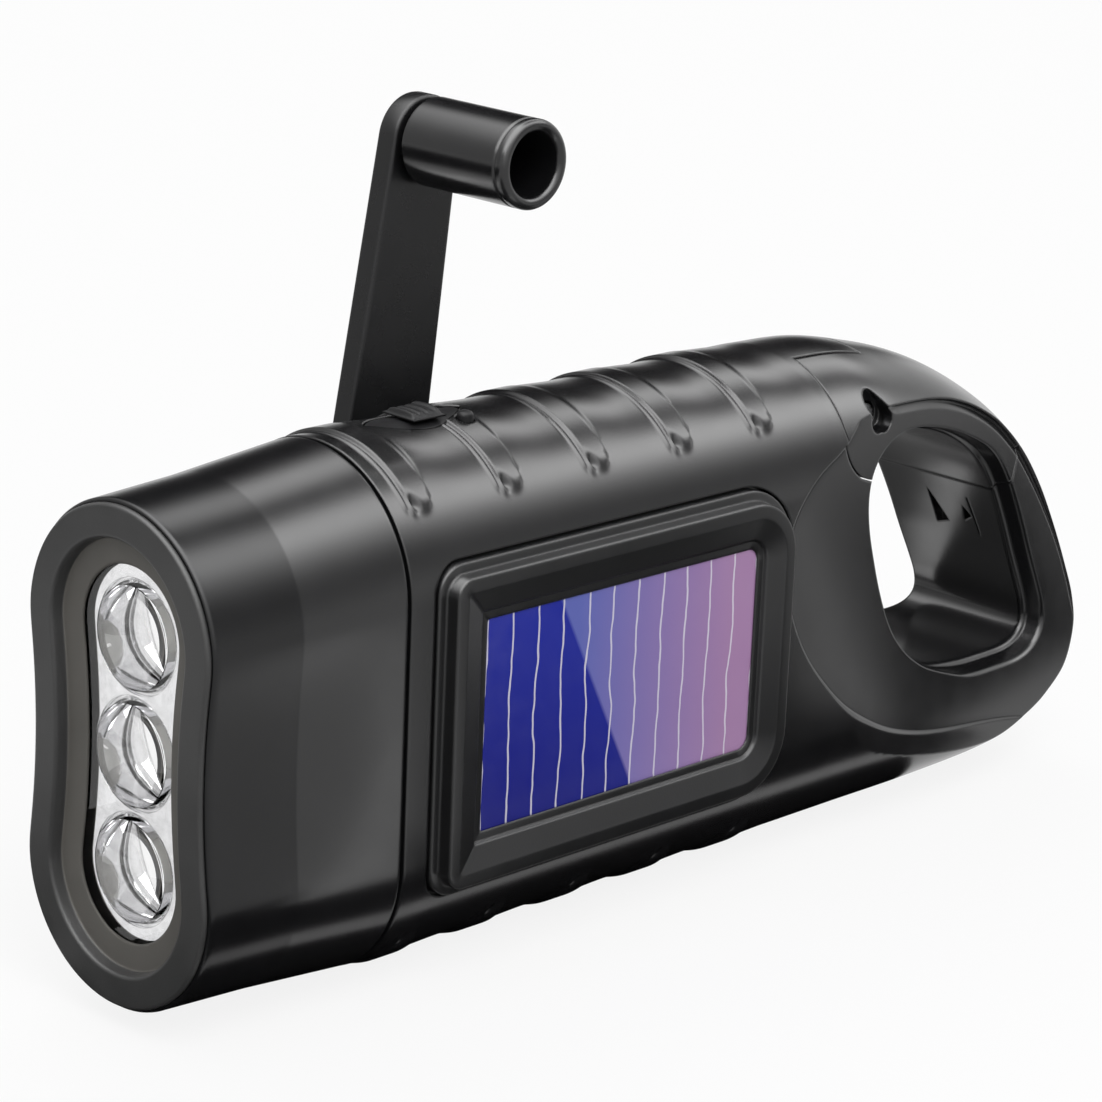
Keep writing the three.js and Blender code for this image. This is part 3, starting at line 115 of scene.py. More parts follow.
def from_parts(name, points, faces):
    """An object from sheet points and faces, with its faces turned outwards."""
    mesh = bpy.data.meshes.new(name)
    mesh.from_pydata(framed(points).tolist(), [], faces)
    work = bmesh.new()
    work.from_mesh(mesh)
    bmesh.ops.remove_doubles(work, verts=work.verts, dist=1e-7)
    bmesh.ops.recalc_face_normals(work, faces=work.faces)
    work.to_mesh(mesh)
    work.free()
    piece = bpy.data.objects.new(name, mesh)
    bpy.context.scene.collection.objects.link(piece)
    return piece


def skin(name, grid, wrap_rows=False, caps=True):
    """A surface through a grid of rings; each ring is closed, and the first and last get a flat cap."""
    rows, cols = grid.shape[:2]
    faces = ring_faces(rows, cols, wrap_rows, True)
    if caps and not wrap_rows:
        faces.append(list(range(cols))[::-1])
        faces.append(list(range((rows - 1) * cols, rows * cols)))
    return from_parts(name, grid.reshape(-1, 3), faces)


def laid(along, first, second, axis):
    """Points with one coordinate along the named axis and the other two on the axes left over."""
    order = {"x": (along, first, second), "y": (first, along, second), "z": (first, second, along)}
    return np.stack(order[axis], -1)


def turned(name, profile, centre, axis, sides=96, ring=False):
    """A lathe shape: radius and height of each profile point, swept round an axis through a centre.
    A ring's profile is closed, so that it has a hole right through."""
    radius, height = np.asarray(profile, float).T
    angle = np.linspace(0, 2 * np.pi, sides, endpoint=False)
    around = np.outer(radius, np.cos(angle)), np.outer(radius, np.sin(angle))
    grid = laid(np.repeat(height[:, None], sides, 1), *around, axis) + np.asarray(centre, float)
    return skin(name, grid, wrap_rows=ring, caps=radius[0] > 0 or radius[-1] > 0)


def upright(outline, y):
    """An outline's X and Z as points of the sheet, at one Y or at a Y for each."""
    return np.column_stack([outline[:, 0], np.broadcast_to(y, len(outline)), outline[:, 1]])


def bake(piece):
    """Makes the result of a piece's modifiers its own mesh."""
    graph = bpy.context.evaluated_depsgraph_get()
    mesh = bpy.data.meshes.new_from_object(piece.evaluated_get(graph))
    piece.modifiers.clear()
    piece.data = mesh
    return piece


def combine(piece, tools, how):
    """Cuts, joins or intersects closed objects, and removes the tools."""
    for tool in tools:
        step = piece.modifiers.new(how, "BOOLEAN")
        step.operation = how
        step.solver = "MANIFOLD"
        step.object = tool
    bake(piece)
    for tool in tools:
        bpy.data.objects.remove(tool)
    return piece


def cut(piece, *tools):
    return combine(piece, tools, "DIFFERENCE")


def add(piece, *tools):
    return combine(piece, tools, "UNION")


def keep(piece, *tools):
    return combine(piece, tools, "INTERSECT")


def twin(piece, name):
    """A copy of a piece with its own mesh."""
    other = bpy.data.objects.new(name, piece.data.copy())
    bpy.context.scene.collection.objects.link(other)
    return other


def slab(outline, low=-FAR, high=FAR, axis="y"):
    """A flat outline carried from low to high along one axis."""
    outline = np.asarray(outline, float)
    level = np.array([low, high])[:, None] + np.zeros(len(outline))
    first, second = (np.repeat(outline[None, :, k], 2, 0) for k in (0, 1))
    return skin("slab", laid(level, first, second, axis))


def brick(x0, x1, y0, y1, z0, z1):
    """A box between two places on each axis."""
    return slab([(x0, z0), (x1, z0), (x1, z1), (x0, z1)], y0, y1)


def bar(x, z, radius, y0=-FAR, y1=FAR, sides=64):
    """A round bar along Y."""
    return turned("bar", [(radius, y0), (radius, y1)], (x, 0, z), "y", sides)


print("helpers ready; cutters reach", FAR, "mm")

# %% [markdown]
# ## Smooth curves
# Outlines such as the carabiner's are given as a few points that were read off the sheet. A curve
# through them is resampled at equal steps, and then blurred a little along its length, so that its
# bend changes slowly. On gloss plastic a sudden change of bend would show as a broken highlight.

# %% Curve helpers
def blurred(points, width, closed):
    """Each point becomes the Gaussian-weighted mean of its neighbours along the curve."""
    if width <= 0:
        return points
    reach = int(3 * width)
    weight = np.exp(-0.5 * (np.arange(-reach, reach + 1) / width) ** 2)
    weight /= weight.sum()
    if closed:
        padded = np.vstack([points[-reach:], points, points[:reach]])
    else:
        head = 2 * points[:1] - points[reach:0:-1]
        tail = 2 * points[-1:] - points[-2:-reach - 2:-1]
        padded = np.vstack([head, points, tail])
    return np.stack([np.convolve(padded[:, k], weight, "valid") for k in range(points.shape[1])], 1)


def through(points, count, closed=False, blur=0.0):
    """A Catmull-Rom curve: each stretch is the cubic whose end slopes are half the chord of the
    neighbouring points, resampled at equal arc lengths."""
    p = np.asarray(points, float)
    ends = (p[-1:], p[:2]) if closed else (2 * p[:1] - p[1:2], 2 * p[-1:] - p[-2:-1])
    q = np.vstack([ends[0], p, ends[1]])
    n = len(q) - 3
    a, b, c, d = (q[k:k + n, None, :] for k in range(4))
    t = np.linspace(0, 1, 48, endpoint=False)[None, :, None]
    s = 0.5 * (2 * b + (c - a) * t + (2 * a - 5 * b + 4 * c - d) * t ** 2 + (3 * b - a - 3 * c + d) * t ** 3)
    s = np.vstack([s.reshape(-1, p.shape[1]), p[:1] if closed else p[-1:]])
    run = np.concatenate([[0], np.cumsum(np.linalg.norm(np.diff(s, axis=0), axis=1))])
    at = np.linspace(0, run[-1], count + 1)[:-1] if closed else np.linspace(0, run[-1], count)
    even = np.stack([np.interp(at, run, s[:, k]) for k in range(s.shape[1])], 1)
    return blurred(even, blur, closed)


def ease(t):
    """0 below 0, 1 above 1, and 3t^2 - 2t^3 between."""
    s = np.clip(t, 0, 1)
    return s * s * (3 - 2 * s)


def spaced(low, high, step, fine=(), fine_step=0.15, reach=1.2):
    """Places from low to high, a step apart, and closer together near each fine place."""
    x = np.linspace(low, high, 4000)
    near = np.zeros_like(x)
    for place in fine:
        near = np.maximum(near, np.exp(-((x - place) / reach) ** 4))
    density = 1 / step + near * (1 / fine_step - 1 / step)
    run = np.concatenate([[0], np.cumsum(0.5 * (density[1:] + density[:-1]) * np.diff(x))])
    return np.interp(np.linspace(0, run[-1], int(run[-1]) + 2), run, x)


# %% [markdown]
# ## Looks
# Every finish is built from nodes. The shell is injection-moulded plastic: almost black, with a gloss
# that changes slightly from place to place and a very fine grain. Real mouldings have no knife edges,
# so a Bevel node rounds the shading at each edge by a fraction of a millimetre and catches the light.

# %% Node helpers
def feed(tree, socket, value):
    """Sets a socket to a value, or links another node's output to it."""
    if isinstance(value, bpy.types.NodeSocket):
        tree.links.new(value, socket)
    else:
        socket.default_value = value


def put(tree, kind, sockets=(), **settings):
    """A new node of a kind, with its settings and then its sockets, by name or number."""
    node = tree.nodes.new(kind)
    for key, value in settings.items():
        setattr(node, key, value)
    for key, value in dict(sockets).items():
        feed(tree, node.inputs[key], value)
    return node


def calc(tree, how, *values):
    """The result of a Math node; each value is a number or another node's output."""
    return put(tree, "ShaderNodeMath", enumerate(values), operation=how).outputs[0]


def noise(tree, place, scale, detail=2.0):
    """Soft noise at a place; the scale is about its lumps to the metre."""
    sockets = {"Scale": scale, "Detail": detail, "Vector": place}
    return put(tree, "ShaderNodeTexNoise", sockets).outputs["Fac"]


def spread(tree, value, low, high, from_low=0.3, from_high=0.7):
    """Maps a value to the range low to high; a noise value lies mostly between 0.3 and 0.7."""
    sockets = {"From Min": from_low, "From Max": from_high, "To Min": low, "To Max": high, "Value": value}
    return put(tree, "ShaderNodeMapRange", sockets).outputs["Result"]


def between(tree, value, dark, light):
    """A colour from dark to light as the value goes from 0 to 1."""
    sockets = {"Factor": value}
    for side, colour in (("A", dark), ("B", light)):
        sockets[side] = colour if isinstance(colour, bpy.types.NodeSocket) else (*colour, 1)
    return put(tree, "ShaderNodeMix", sockets, data_type="RGBA").outputs["Result"]


def parts_of(tree, place):
    """The X, Y and Z of a place."""
    return put(tree, "ShaderNodeSeparateXYZ", {"Vector": place}).outputs


def relief(tree, height, strength, distance, edge):
    """A bump from a height, over edges rounded by a Bevel node of the given radius in metres."""
    bevel = put(tree, "ShaderNodeBevel", {"Radius": edge}, samples=6)
    sockets = {"Strength": strength, "Distance": distance, "Height": height}
    sockets["Normal"] = bevel.outputs["Normal"]
    return put(tree, "ShaderNodeBump", sockets).outputs["Normal"]


def nodes_of(name):
    """A new material with its node tree, its Principled shader's sockets and the object's own
    coordinates."""
    made = bpy.data.materials.new(name)
    made.use_nodes = True
    tree = made.node_tree
    place = put(tree, "ShaderNodeTexCoord").outputs["Object"]
    return made, tree, tree.nodes["Principled BSDF"].inputs, place


# %% Moulded plastic and metal
def moulded(name, colour, rough, grain=0.04, edge=0.00035, spec=0.5):
    """Moulded plastic: mottled colour, patchy gloss, fine grain, softly rounded edges."""
    made, tree, shader, place = nodes_of(name)
    colour = np.asarray(colour)
    mottle = spread(tree, noise(tree, place, 140), 0, 1)
    feed(tree, shader["Base Color"], between(tree, mottle, 0.88 * colour, 1.12 * colour))
    feed(tree, shader["Roughness"], spread(tree, noise(tree, place, 320, 4), 0.92 * rough, 1.08 * rough))
    feed(tree, shader["Specular IOR Level"], spec)
    feed(tree, shader["Normal"], relief(tree, noise(tree, place, 5200, 1), grain, 0.0001, edge))
    return made


def creased(name, crease, before, after, *values):
    """Moulded plastic with less mirror shine before a crease in the mould than after it."""
    made = moulded(name, *values)
    tree = made.node_tree
    start = float(framed([crease, 0, 0])[0])
    across = parts_of(tree, tree.nodes["Texture Coordinate"].outputs["Object"])["X"]
    shine = spread(tree, across, before, after, start, start + 0.0003)
    feed(tree, tree.nodes["Principled BSDF"].inputs["Specular IOR Level"], shine)
    return made


def metal(name, colour, rough, edge=0.0002, stretch=(1, 1, 1)):
    """Plated metal: a bright base with fine marks along one direction."""
    made, tree, shader, place = nodes_of(name)
    colour = np.asarray(colour)
    turn = put(tree, "ShaderNodeMapping", {"Scale": stretch, "Vector": place})
    marks = noise(tree, turn.outputs["Vector"], 900, 3)
    shade = between(tree, spread(tree, marks, 0, 1), 0.85 * colour, colour)
    feed(tree, shader["Base Color"], shade)
    feed(tree, shader["Roughness"], spread(tree, marks, 0.8 * rough, 1.2 * rough))
    feed(tree, shader["Metallic"], 1)
    feed(tree, shader["Normal"], relief(tree, marks, 0.05, 0.00005, edge))
    return made


shell_black = moulded("shell_black", (0.0055, 0.0055, 0.006), 0.2)
CREASE_X = 11.2
head_black = creased("head_black", CREASE_X, 0.3, 0.5, (0.0055, 0.0055, 0.006), 0.2)
satin_black = moulded("satin_black", (0.0065, 0.0065, 0.007), 0.3, grain=0.08)
arm_black = moulded("arm_black", (0.0055, 0.0055, 0.006), 0.28, grain=0.08, spec=0.3)
grip_black = moulded("grip_black", (0.006, 0.006, 0.0065), 0.4, grain=0.1, edge=0.0002, spec=0.15)
ring_grey = moulded("ring_grey", (0.026, 0.026, 0.026), 0.42, grain=0.12, spec=0.4)
# painted light: a lighter, brownish copy of the ring's grey for the ring's inner ledge
ledge_painted_light = moulded("ledge_painted_light", (0.075, 0.071, 0.064), 0.5, grain=0.12, spec=0.3)
gear_white = moulded("gear_white", (0.68, 0.66, 0.6), 0.45, grain=0.05)
board_green = moulded("board_green", (0.02, 0.11, 0.045), 0.5, grain=0.1)
battery_blue = moulded("battery_blue", (0.03, 0.1, 0.25), 0.35)
magnet_grey = moulded("magnet_grey", (0.09, 0.09, 0.095), 0.5, grain=0.2)
steel = metal("steel", (0.5, 0.5, 0.51), 0.3, stretch=(1, 1, 6))
brass = metal("brass", (0.58, 0.38, 0.13), 0.3)
copper_wire = metal("copper_wire", (0.6, 0.23, 0.09), 0.35, stretch=(1, 8, 1))
chrome = metal("chrome", (0.9, 0.9, 0.91), 0.05, edge=0.00015)
print("materials:", len(bpy.data.materials))

# %% [markdown]
# ## The body's outer surface
# The body is an outline in the X-Z plane, rounded towards both flat sides like a bar of soap. One
# parameter runs along the outline, from the front over the top, round the tail and back along the
# bottom; the other is the angle from the solar side to the crank side. The grip ribs are part of this
# surface: each is a fine ridge, a groove and a pad that falls off slowly, and it ends in a dimple.

# %% Body sizes
HEAD_LENGTH, SEAT_X = 24.3, 24.6
BODY_TOP, BODY_BOTTOM, BODY_NEAR, BODY_FAR = 27.5, 26.9, 14.3, 13.2
BODY_ROUND, TAIL_ROUND, WALL, GAP = 14.0, 9.0, 2.0, 0.3
TAIL_X, TAIL_LENGTH = 88.0, 52.37
TAIL_TOP = [(0, 1), (0.162, 0.985), (0.302, 0.931), (0.401, 0.88), (0.489, 0.815), (0.58, 0.724),
            (0.664, 0.615), (0.752, 0.458), (0.828, 0.273), (0.893, 0.069), (0.947, -0.129),
            (0.987, -0.303), (1, -0.469)]
TAIL_BOTTOM = [(0.966, -0.653), (0.889, -0.775), (0.798, -0.86), (0.647, -0.948), (0.405, -0.985),
               (0.162, -0.996), (0, -1)]
RIB_X = 27.1 + 12.3 * np.arange(5)
RIB_REACH = np.radians(55)


def body_outline(straight, tail_count):
    """The outline's points, inward normals and rounding depth, with the straight parts at given X."""
    curve = through([(TAIL_X + sx * TAIL_LENGTH, sz * (BODY_TOP if sz > 0 else BODY_BOTTOM))
                     for sx, sz in TAIL_TOP + TAIL_BOTTOM], tail_count)
    points = np.vstack([
        np.column_stack([straight, np.full(len(straight), BODY_TOP)]),
        curve[1:-1],
        np.column_stack([straight[::-1], np.full(len(straight), -BODY_BOTTOM)]),
    ])
    slope = np.gradient(points, axis=0)
    slope /= np.linalg.norm(slope, axis=1)[:, None]
    normal = np.column_stack([slope[:, 1], -slope[:, 0]])
    normal = blurred(normal, 4, False)
    normal /= np.linalg.norm(normal, axis=1)[:, None]
    share = ease((points[:, 0] - TAIL_X) / TAIL_LENGTH)
    return points, normal, BODY_ROUND + (TAIL_ROUND - BODY_ROUND) * share


def rib_rise(x, angle):
    """Height of the ribs at X and at an angle from the top or bottom. Each is a pad with a U-shaped
    edge: a fine ridge and a groove before its steep front, a faint crease at the rear that deepens
    towards the tips, a long slow fall behind the crease, and a pit at each tip."""
    t = np.abs(angle) / RIB_REACH
    swell = np.sqrt(np.clip(1 - t ** 6, 0, 1))
    fade = 1 - ease((t - 0.25) / 0.6)
    end = 1 - ease((t - 0.86) / 0.14)
    rise = np.zeros(np.broadcast(x, angle).shape)
    for place in RIB_X:
        front = x - place
        rear = front - 1.3 - 1.9 * swell
        pad = ease((front + 0.16) / 0.28) * end
        slow = 0.72 * fade * (1 - ease(rear / 6.5))
        rise += 0.38 * pad * (slow + (1 - 0.72 * fade) * (1 - ease((rear + 0.1) / 0.35)))
        rise += 0.17 * (1 - ease((t - 0.86) / 0.1)) * np.exp(-((front + 0.56) / 0.17) ** 2)
        along = (t - 0.885) * RIB_REACH * BODY_ROUND
        rise -= 0.58 * np.exp(-((front - 0.6 - 0.3 * along) / 0.4) ** 2 - (along / 0.7) ** 2)
    return rise


def body_places(fine):
    """Places along X, angles across and a count for the tail. Fine ones crowd where the ribs' fronts
    and tips are."""
    if not fine:
        return np.linspace(SEAT_X - 4, TAIL_X, 12), np.radians(np.linspace(-90, 90, 25)), 60
    straight = spaced(SEAT_X - 4, TAIL_X, 0.34, RIB_X - 0.1, 0.085, 0.95)
    tips = np.degrees((-RIB_REACH * 0.9, RIB_REACH * 0.9))
    return straight, np.radians(spaced(-90, 90, 2.4, tips, 1.0, 7)), 240


def body_block(name, inset=0.0, fine=True):
    """The closed body moved in by inset: a point lies half * sin(angle) from the middle plane, and
    depth * (1 - cos(angle)) inwards from the outline."""
    straight, angle, tail_count = body_places(fine)
    points, normal, depth = body_outline(straight, tail_count)
    angle = angle[:, None]
    half = np.where(angle < 0, BODY_NEAR, BODY_FAR)
    ribbed = (points[:, 0] <= TAIL_X)[None, :] & fine
    rise = np.where(ribbed, rib_rise(points[None, :, 0], angle), 0)
    inward = inset + (depth - inset) * (1 - np.cos(angle)) - rise * np.cos(angle)
    grid = np.stack([
        points[:, 0] + normal[:, 0] * inward,
        (half - inset + rise) * np.sin(angle) + np.zeros(len(points)),
        points[:, 1] + normal[:, 1] * inward,
    ], -1)
    return skin(name, grid)


body = body_block("body")
print("body surface:", len(body.data.polygons), "faces")

# %% [markdown]
# ## The carabiner tail
# Both sides of the tail are planed down: the crank side and the solar side slope together, and the
# solar side has a large flat with a crisp edge, set off from the rounding above by a fine groove. The
# finger hole goes right through. It is wider at the near side, where a rounded step makes the double
# bright lip.

# %% Tail cutters
HOLE = [(0, 0.672), (0.02, 0.83), (0.072, 0.94), (0.145, 0.995), (0.232, 1.005), (0.318, 0.977),
        (0.422, 0.925), (0.52, 0.851), (0.623, 0.741), (0.704, 0.615), (0.76, 0.477), (0.802, 0.339),
        (0.858, 0.115), (0.908, -0.109), (0.964, -0.345), (0.996, -0.5), (0.997, -0.62), (0.955, -0.69),
        (0.877, -0.715), (0.774, -0.708), (0.623, -0.69), (0.475, -0.644), (0.358, -0.575),
        (0.251, -0.448), (0.176, -0.31), (0.123, -0.155), (0.073, 0.063), (0.036, 0.276), (0.008, 0.477)]
HOLE_X, HOLE_LENGTH, HOLE_HALF, HOLE_STEP = 94.8, 35.8, 17.4, 4.6
FACET = [(0.16, 0.93), (0.097, 0.86), (0.043, 0.745), (0, 0.575), (-0.01, 0.305), (0.005, 0.13),
         (0.033, -0.05), (0.07, -0.215), (0.125, -0.39), (0.183, -0.54), (0.262, -0.68), (0.33, -0.775),
         (0.415, -0.855), (0.495, -0.905), (0.573, -0.94), (0.662, -0.975), (0.75, -1.02), (0.84, -1.08),
         (0.97, -1.12), (1.1, -0.9), (1.12, -0.1), (1.08, 1.2), (0.7, 1.5), (0.3, 1.25)]
FACET_X, FACET_LENGTH, FACET_HALF, FACET_FLARE = 80.0, 60.0, 20.0, 1.1
FACET_EDGE = [(0.991, 0.02), (0.995, 0.06), (1.0, 0.15), (1.02, 0.62), (FACET_FLARE, 4.0), (FACET_FLARE, FAR)]
VALLEY = np.array([(-1.62, -0.4), (-1.1, 0.0), (-0.53, 0.5), (-0.43, 0.54), (-0.36, 0.48), (-0.1, 0.0),
                   (0.15, -0.4)])
LATCH_CUTS = [([(3.7, 4.4), (3.5, 0.0), (1.6, 0.6), (2.4, 2.0)], 127.3),
              ([(-1.2, 3.2), (-2.2, 2.0), (-0.9, 1.2)], 126.6),
              ([(-2.1, 4.5), (-2.3, 4.5), (-2.9, -0.3), (-2.7, -0.3)], 127.2)]
NEAR_FALL, NEAR_START, FAR_START, FAR_END = 0.12, 92.0, 103.0, 8.3
POCKET_X, POCKET_Z, KNOB_REACH = 92.7, 4.0, 3.2


def facet_depth(x, z):
    """Distance of the flat from the middle plane: it falls along X and a little with height, and near
    the body's side it is held just below that side by the smooth minimum of the two."""
    sloped = BODY_NEAR + 0.3 - NEAR_FALL * (x - FACET_X) - 0.05 * z
    held = BODY_NEAR - 0.25
    return 0.5 * (sloped + held - np.sqrt((sloped - held) ** 2 + 0.25))


def outset(points, distance):
    """Moves a closed outline outwards along its normals."""
    slope = np.roll(points, -1, 0) - np.roll(points, 1, 0)
    slope /= np.linalg.norm(slope, axis=1)[:, None]
    area = 0.5 * np.sum(points[:, 0] * np.roll(points[:, 1], -1) - np.roll(points[:, 0], -1) * points[:, 1])
    normal = np.column_stack([slope[:, 1], -slope[:, 0]]) * np.sign(area)
    return points + normal * np.asarray(distance).reshape(-1, 1)


def facet_cutter():
    """Rings of the flat's outline, grown from its middle: level on the flat, then up a small rounded
    edge, then flaring out above it."""
    base = through(FACET, 220, closed=True, blur=1.5)
    middle = np.array([0.55, 0.05])
    rings = []
    for share, above in [(share, 0.0) for share in np.linspace(0.01, 0.985, 26)] + FACET_EDGE:
        ring = middle + (base - middle) * share
        ring = np.column_stack([FACET_X + FACET_LENGTH * ring[:, 0], ring[:, 1] * FACET_HALF])
        rings.append(upright(ring, -(facet_depth(*ring.T) + above)))
    return skin("facet_cutter", np.array(rings))


def rim_groove():
    """A valley with a steep outer wall and a wide chamfer on the inside, which sets the flat off from
    the rounding. It runs where the rounding, half times the sine of an angle, has come down to the
    flat's depth, and gets smaller round the tail's end."""
    points, normal, depth = body_outline(body_places(False)[0], 400)
    level = BODY_NEAR - 0.6
    for _ in range(4):
        sine = np.clip(level / BODY_NEAR, 0, 1)
        inward = depth * (1 - np.sqrt(1 - sine ** 2))
        edge = points + normal * inward[:, None]
        level = facet_depth(edge[:, 0], edge[:, 1])
    part = (points[:, 0] > 96.5) & (points[:, 1] > -12)
    path = blurred(upright(edge[part], -level[part]), 3, False)
    slope = np.gradient(path, axis=0)
    slope /= np.linalg.norm(slope, axis=1)[:, None]
    side = np.cross(slope, (0, 1, 0))
    side /= np.linalg.norm(side, axis=1)[:, None]
    down = np.cross(side, slope)
    ends = np.minimum(np.arange(len(path)), np.arange(len(path))[::-1])
    size = (0.4 + 0.6 * ease((path[:, 2] + 4) / 14)) * ease(ends / 14.0) + 0.02
    offset = VALLEY[None, :, :1] * side[:, None, :] + VALLEY[None, :, 1:] * down[:, None, :]
    return skin("rim_groove", path[:, None, :] + size[:, None, None] * offset)


def latch_cuts():
    """Two small triangular pockets and a thin slit in the hole's rear wall, for the gate's latch."""
    return [slab(outline, 118, reach, "x") for outline, reach in LATCH_CUTS]


def hole_cutter():
    """Rings of the hole from near to far: a rounded lip and a rounded step below the flat, then the
    straight wall, whose front part is held back behind the knob's pocket."""
    shape = through(HOLE, 240, closed=True, blur=2.0)
    flat = np.column_stack([HOLE_X + shape[:, 0] * HOLE_LENGTH, shape[:, 1] * HOLE_HALF])
    held = HOLE_STEP * np.clip(1 - shape[:, 0] / 0.4, 0, 1)
    upper = ease((shape[:, 1] + 0.45) / 0.8)
    lip = upper * (0.35 * ease(shape[:, 0] / 0.2) + 0.65 * ease((shape[:, 0] - 0.5) / 0.3))
    lip += (1 - upper) * ease((shape[:, 0] - 0.36) / 0.3)
    rings = []
    bend = np.radians([32, 45, 60, 75, 90])
    profile = [(1.42, -FAR)]
    profile += list(zip(1.0 + 0.9 * (1 - np.sin(bend)), 0.9 * (np.cos(bend[0]) - np.cos(bend))))
    profile += [(0.6, 2.1), (0.25, 2.25), (0.06, 2.5), (0.0, 2.9)]
    for grow, down in profile:
        ring = outset(flat, grow * lip + (1 - lip) * min(grow, 0.35))
        rings.append(upright(ring, -facet_depth(*ring.T) + down))
    back = np.column_stack([flat[:, 0] + held, flat[:, 1]])
    rings += [upright(flat, -6.2), upright(back, -KNOB_REACH), upright(back, FAR)]
    return skin("hole_cutter", np.array(rings))


def side_wedge(start, half, slope, sign):
    """Everything beyond a plane that leaves the side of the body at X = start."""
    end = 160.0
    return slab([(start, sign * half), (end, sign * (half - slope * (end - start))),
                 (end, sign * FAR), (start, sign * FAR)], axis="z")


# %% Cutting the tail
far_fall = (BODY_FAR - FAR_END) / (TAIL_X + TAIL_LENGTH - FAR_START)
cut(body, side_wedge(NEAR_START, BODY_NEAR, NEAR_FALL, -1), side_wedge(FAR_START, BODY_FAR, far_fall, 1),
    facet_cutter(), hole_cutter(), rim_groove(), *latch_cuts())
keep(body, brick(SEAT_X, 200, -FAR, FAR, -FAR, FAR))
print("body with its tail:", len(body.data.polygons), "faces")

# %% [markdown]
# ## Gate, housing and cover
# The shell is three mouldings that meet at narrow seams: the solar-side housing with the whole loop,
# the crank-side cover, and the sprung gate on top of the loop. All three are cut from the one body
# surface, so that the seams follow it exactly, as they do on the real shell.

# %% Gate
PIN_X, PIN_Z, HEEL, SWING = 96.2, 20.4, 6.6, 24.0
NOSE_REACH = np.hypot(125.1 - PIN_X, 10.9 - PIN_Z)
NOSE_ANGLE = np.degrees(np.arctan2(10.9 - PIN_Z, 125.1 - PIN_X))
TONGUE_HALF, TONGUE_CROWN = 4.4, 4.2
GATE_BORE, PIN_HOLE, SLOT_RADIUS, SLOT_WAY = 1.6, 1.42, 1.35, np.array([1.1, -1.3])
CAVITY_END = PIN_X - HEEL - GAP - WALL


def arc(radius, start, end, steps=48):
    """Points about the pin: radius times the cosine and sine of an angle in degrees."""
    angle = np.radians(np.linspace(start, end, steps))
    return np.column_stack([PIN_X + radius * np.cos(angle), PIN_Z + radius * np.sin(angle)])


def gate_region(clearance, swing):
    """Outline of the gate, or of its room: an arc under the pin and an arc at the nose about the pin."""
    heel = arc(HEEL + clearance, 180, 320)
    nose = arc(NOSE_REACH + clearance - GAP, NOSE_ANGLE - swing, NOSE_ANGLE + SWING)
    outline = np.vstack([[(heel[0, 0], BODY_TOP + 4)], heel, [heel[-1] + (4, -12)], nose])
    return slab(outline)


def tongue(radius, crown, half):
    """The housing's hinge tongue: a disc about the pin, with a block behind it and a crown above."""
    piece = bar(PIN_X, PIN_Z, radius, -half, half, 72)
    return add(piece, brick(CAVITY_END, PIN_X, -half, half, PIN_Z - radius, 32),
               brick(CAVITY_END, PIN_X + crown, -half, half, PIN_Z, 32))


def slanted_slot():
    """An oval at the pin's near end, leaning back, as an outline carried through the near side: two
    half circles, one a share of the slot's length forward and the other a whole length back."""
    middle, lean = (PIN_X + 0.4, PIN_Z + 0.4), np.arctan2(SLOT_WAY[1], SLOT_WAY[0])
    points = []
    for shift, start in ((0.55, lean - np.pi / 2), (-1, lean + np.pi / 2)):
        turn = np.linspace(start, start + np.pi, 16)
        circle = SLOT_RADIUS * np.column_stack([np.cos(turn), np.sin(turn)])
        points.append(middle + shift * SLOT_WAY + circle)
    return slab(np.vstack(points), -FAR, -9.4)


gate = keep(twin(body, "gate_bar"), gate_region(0, SWING / 2))
hinge_room = tongue(HEEL, TONGUE_CROWN + GAP, TONGUE_HALF + GAP)
cut(gate, hinge_room, bar(PIN_X, PIN_Z, GATE_BORE), slanted_slot())
print("gate:", len(gate.data.polygons), "faces")

# %% Housing and cover
COVER_X = PIN_X - HEEL - WALL
SPLIT_Y, POCKET_RADIUS = 7.5, 5.3


def cover_region(shrink):
    """Room for the cover: a block behind the split, with a lobe round the knob's pocket."""
    lobe = bar(POCKET_X, POCKET_Z, POCKET_RADIUS + 0.8 + WALL / 2 - shrink, SPLIT_Y + shrink)
    return add(brick(-FAR, COVER_X - shrink, SPLIT_Y + shrink, FAR, -FAR, FAR), lobe)


def hollow():
    """The room inside: the body moved in by its wall, up to the tail, clear of the flat."""
    room = body_block("room", WALL, fine=False)
    keep(room, brick(-FAR, CAVITY_END, -FAR, FAR, -FAR, FAR))
    return room


hinge = keep(twin(body, "hinge"), tongue(HEEL - 2 * GAP, TONGUE_CROWN, TONGUE_HALF))
housing = cut(twin(body, "housing"), cover_region(-GAP), hollow(), gate_region(0.6 * GAP, 1.5 * SWING))
add(housing, cut(hinge, bar(PIN_X, PIN_Z, PIN_HOLE)))
print("housing before its openings:", len(housing.data.polygons), "faces")

# %% Openings in the housing
def panel_outline(inset):
    """A rounded rectangle whose rear corners are rounder than the front ones, moved in by inset."""
    x0, x1, half = 28.0 + inset, 79.5 - inset, 17.1 - inset
    front, rear = max(GAP, 3.0 - inset), max(GAP, 7.5 - inset)
    corners = [(x1 - rear, half - rear, rear, 0), (x0 + front, half - front, front, 90),
               (x0 + front, front - half, front, 180), (x1 - rear, rear - half, rear, 270)]
    points = []
    for cx, cz, radius, start in corners:
        angle = np.radians(np.linspace(start, start + 90, 12))
        points.append(np.column_stack([cx + radius * np.cos(angle), cz + radius * np.sin(angle)]))
    return np.vstack(points)


BED_X, SWITCH_X, PLATE_FACE, PLATE_BASE = 37.4, 38.7, BODY_TOP + 0.1, BODY_TOP - 1.4
PEG = (41.6, -3.3, 0)


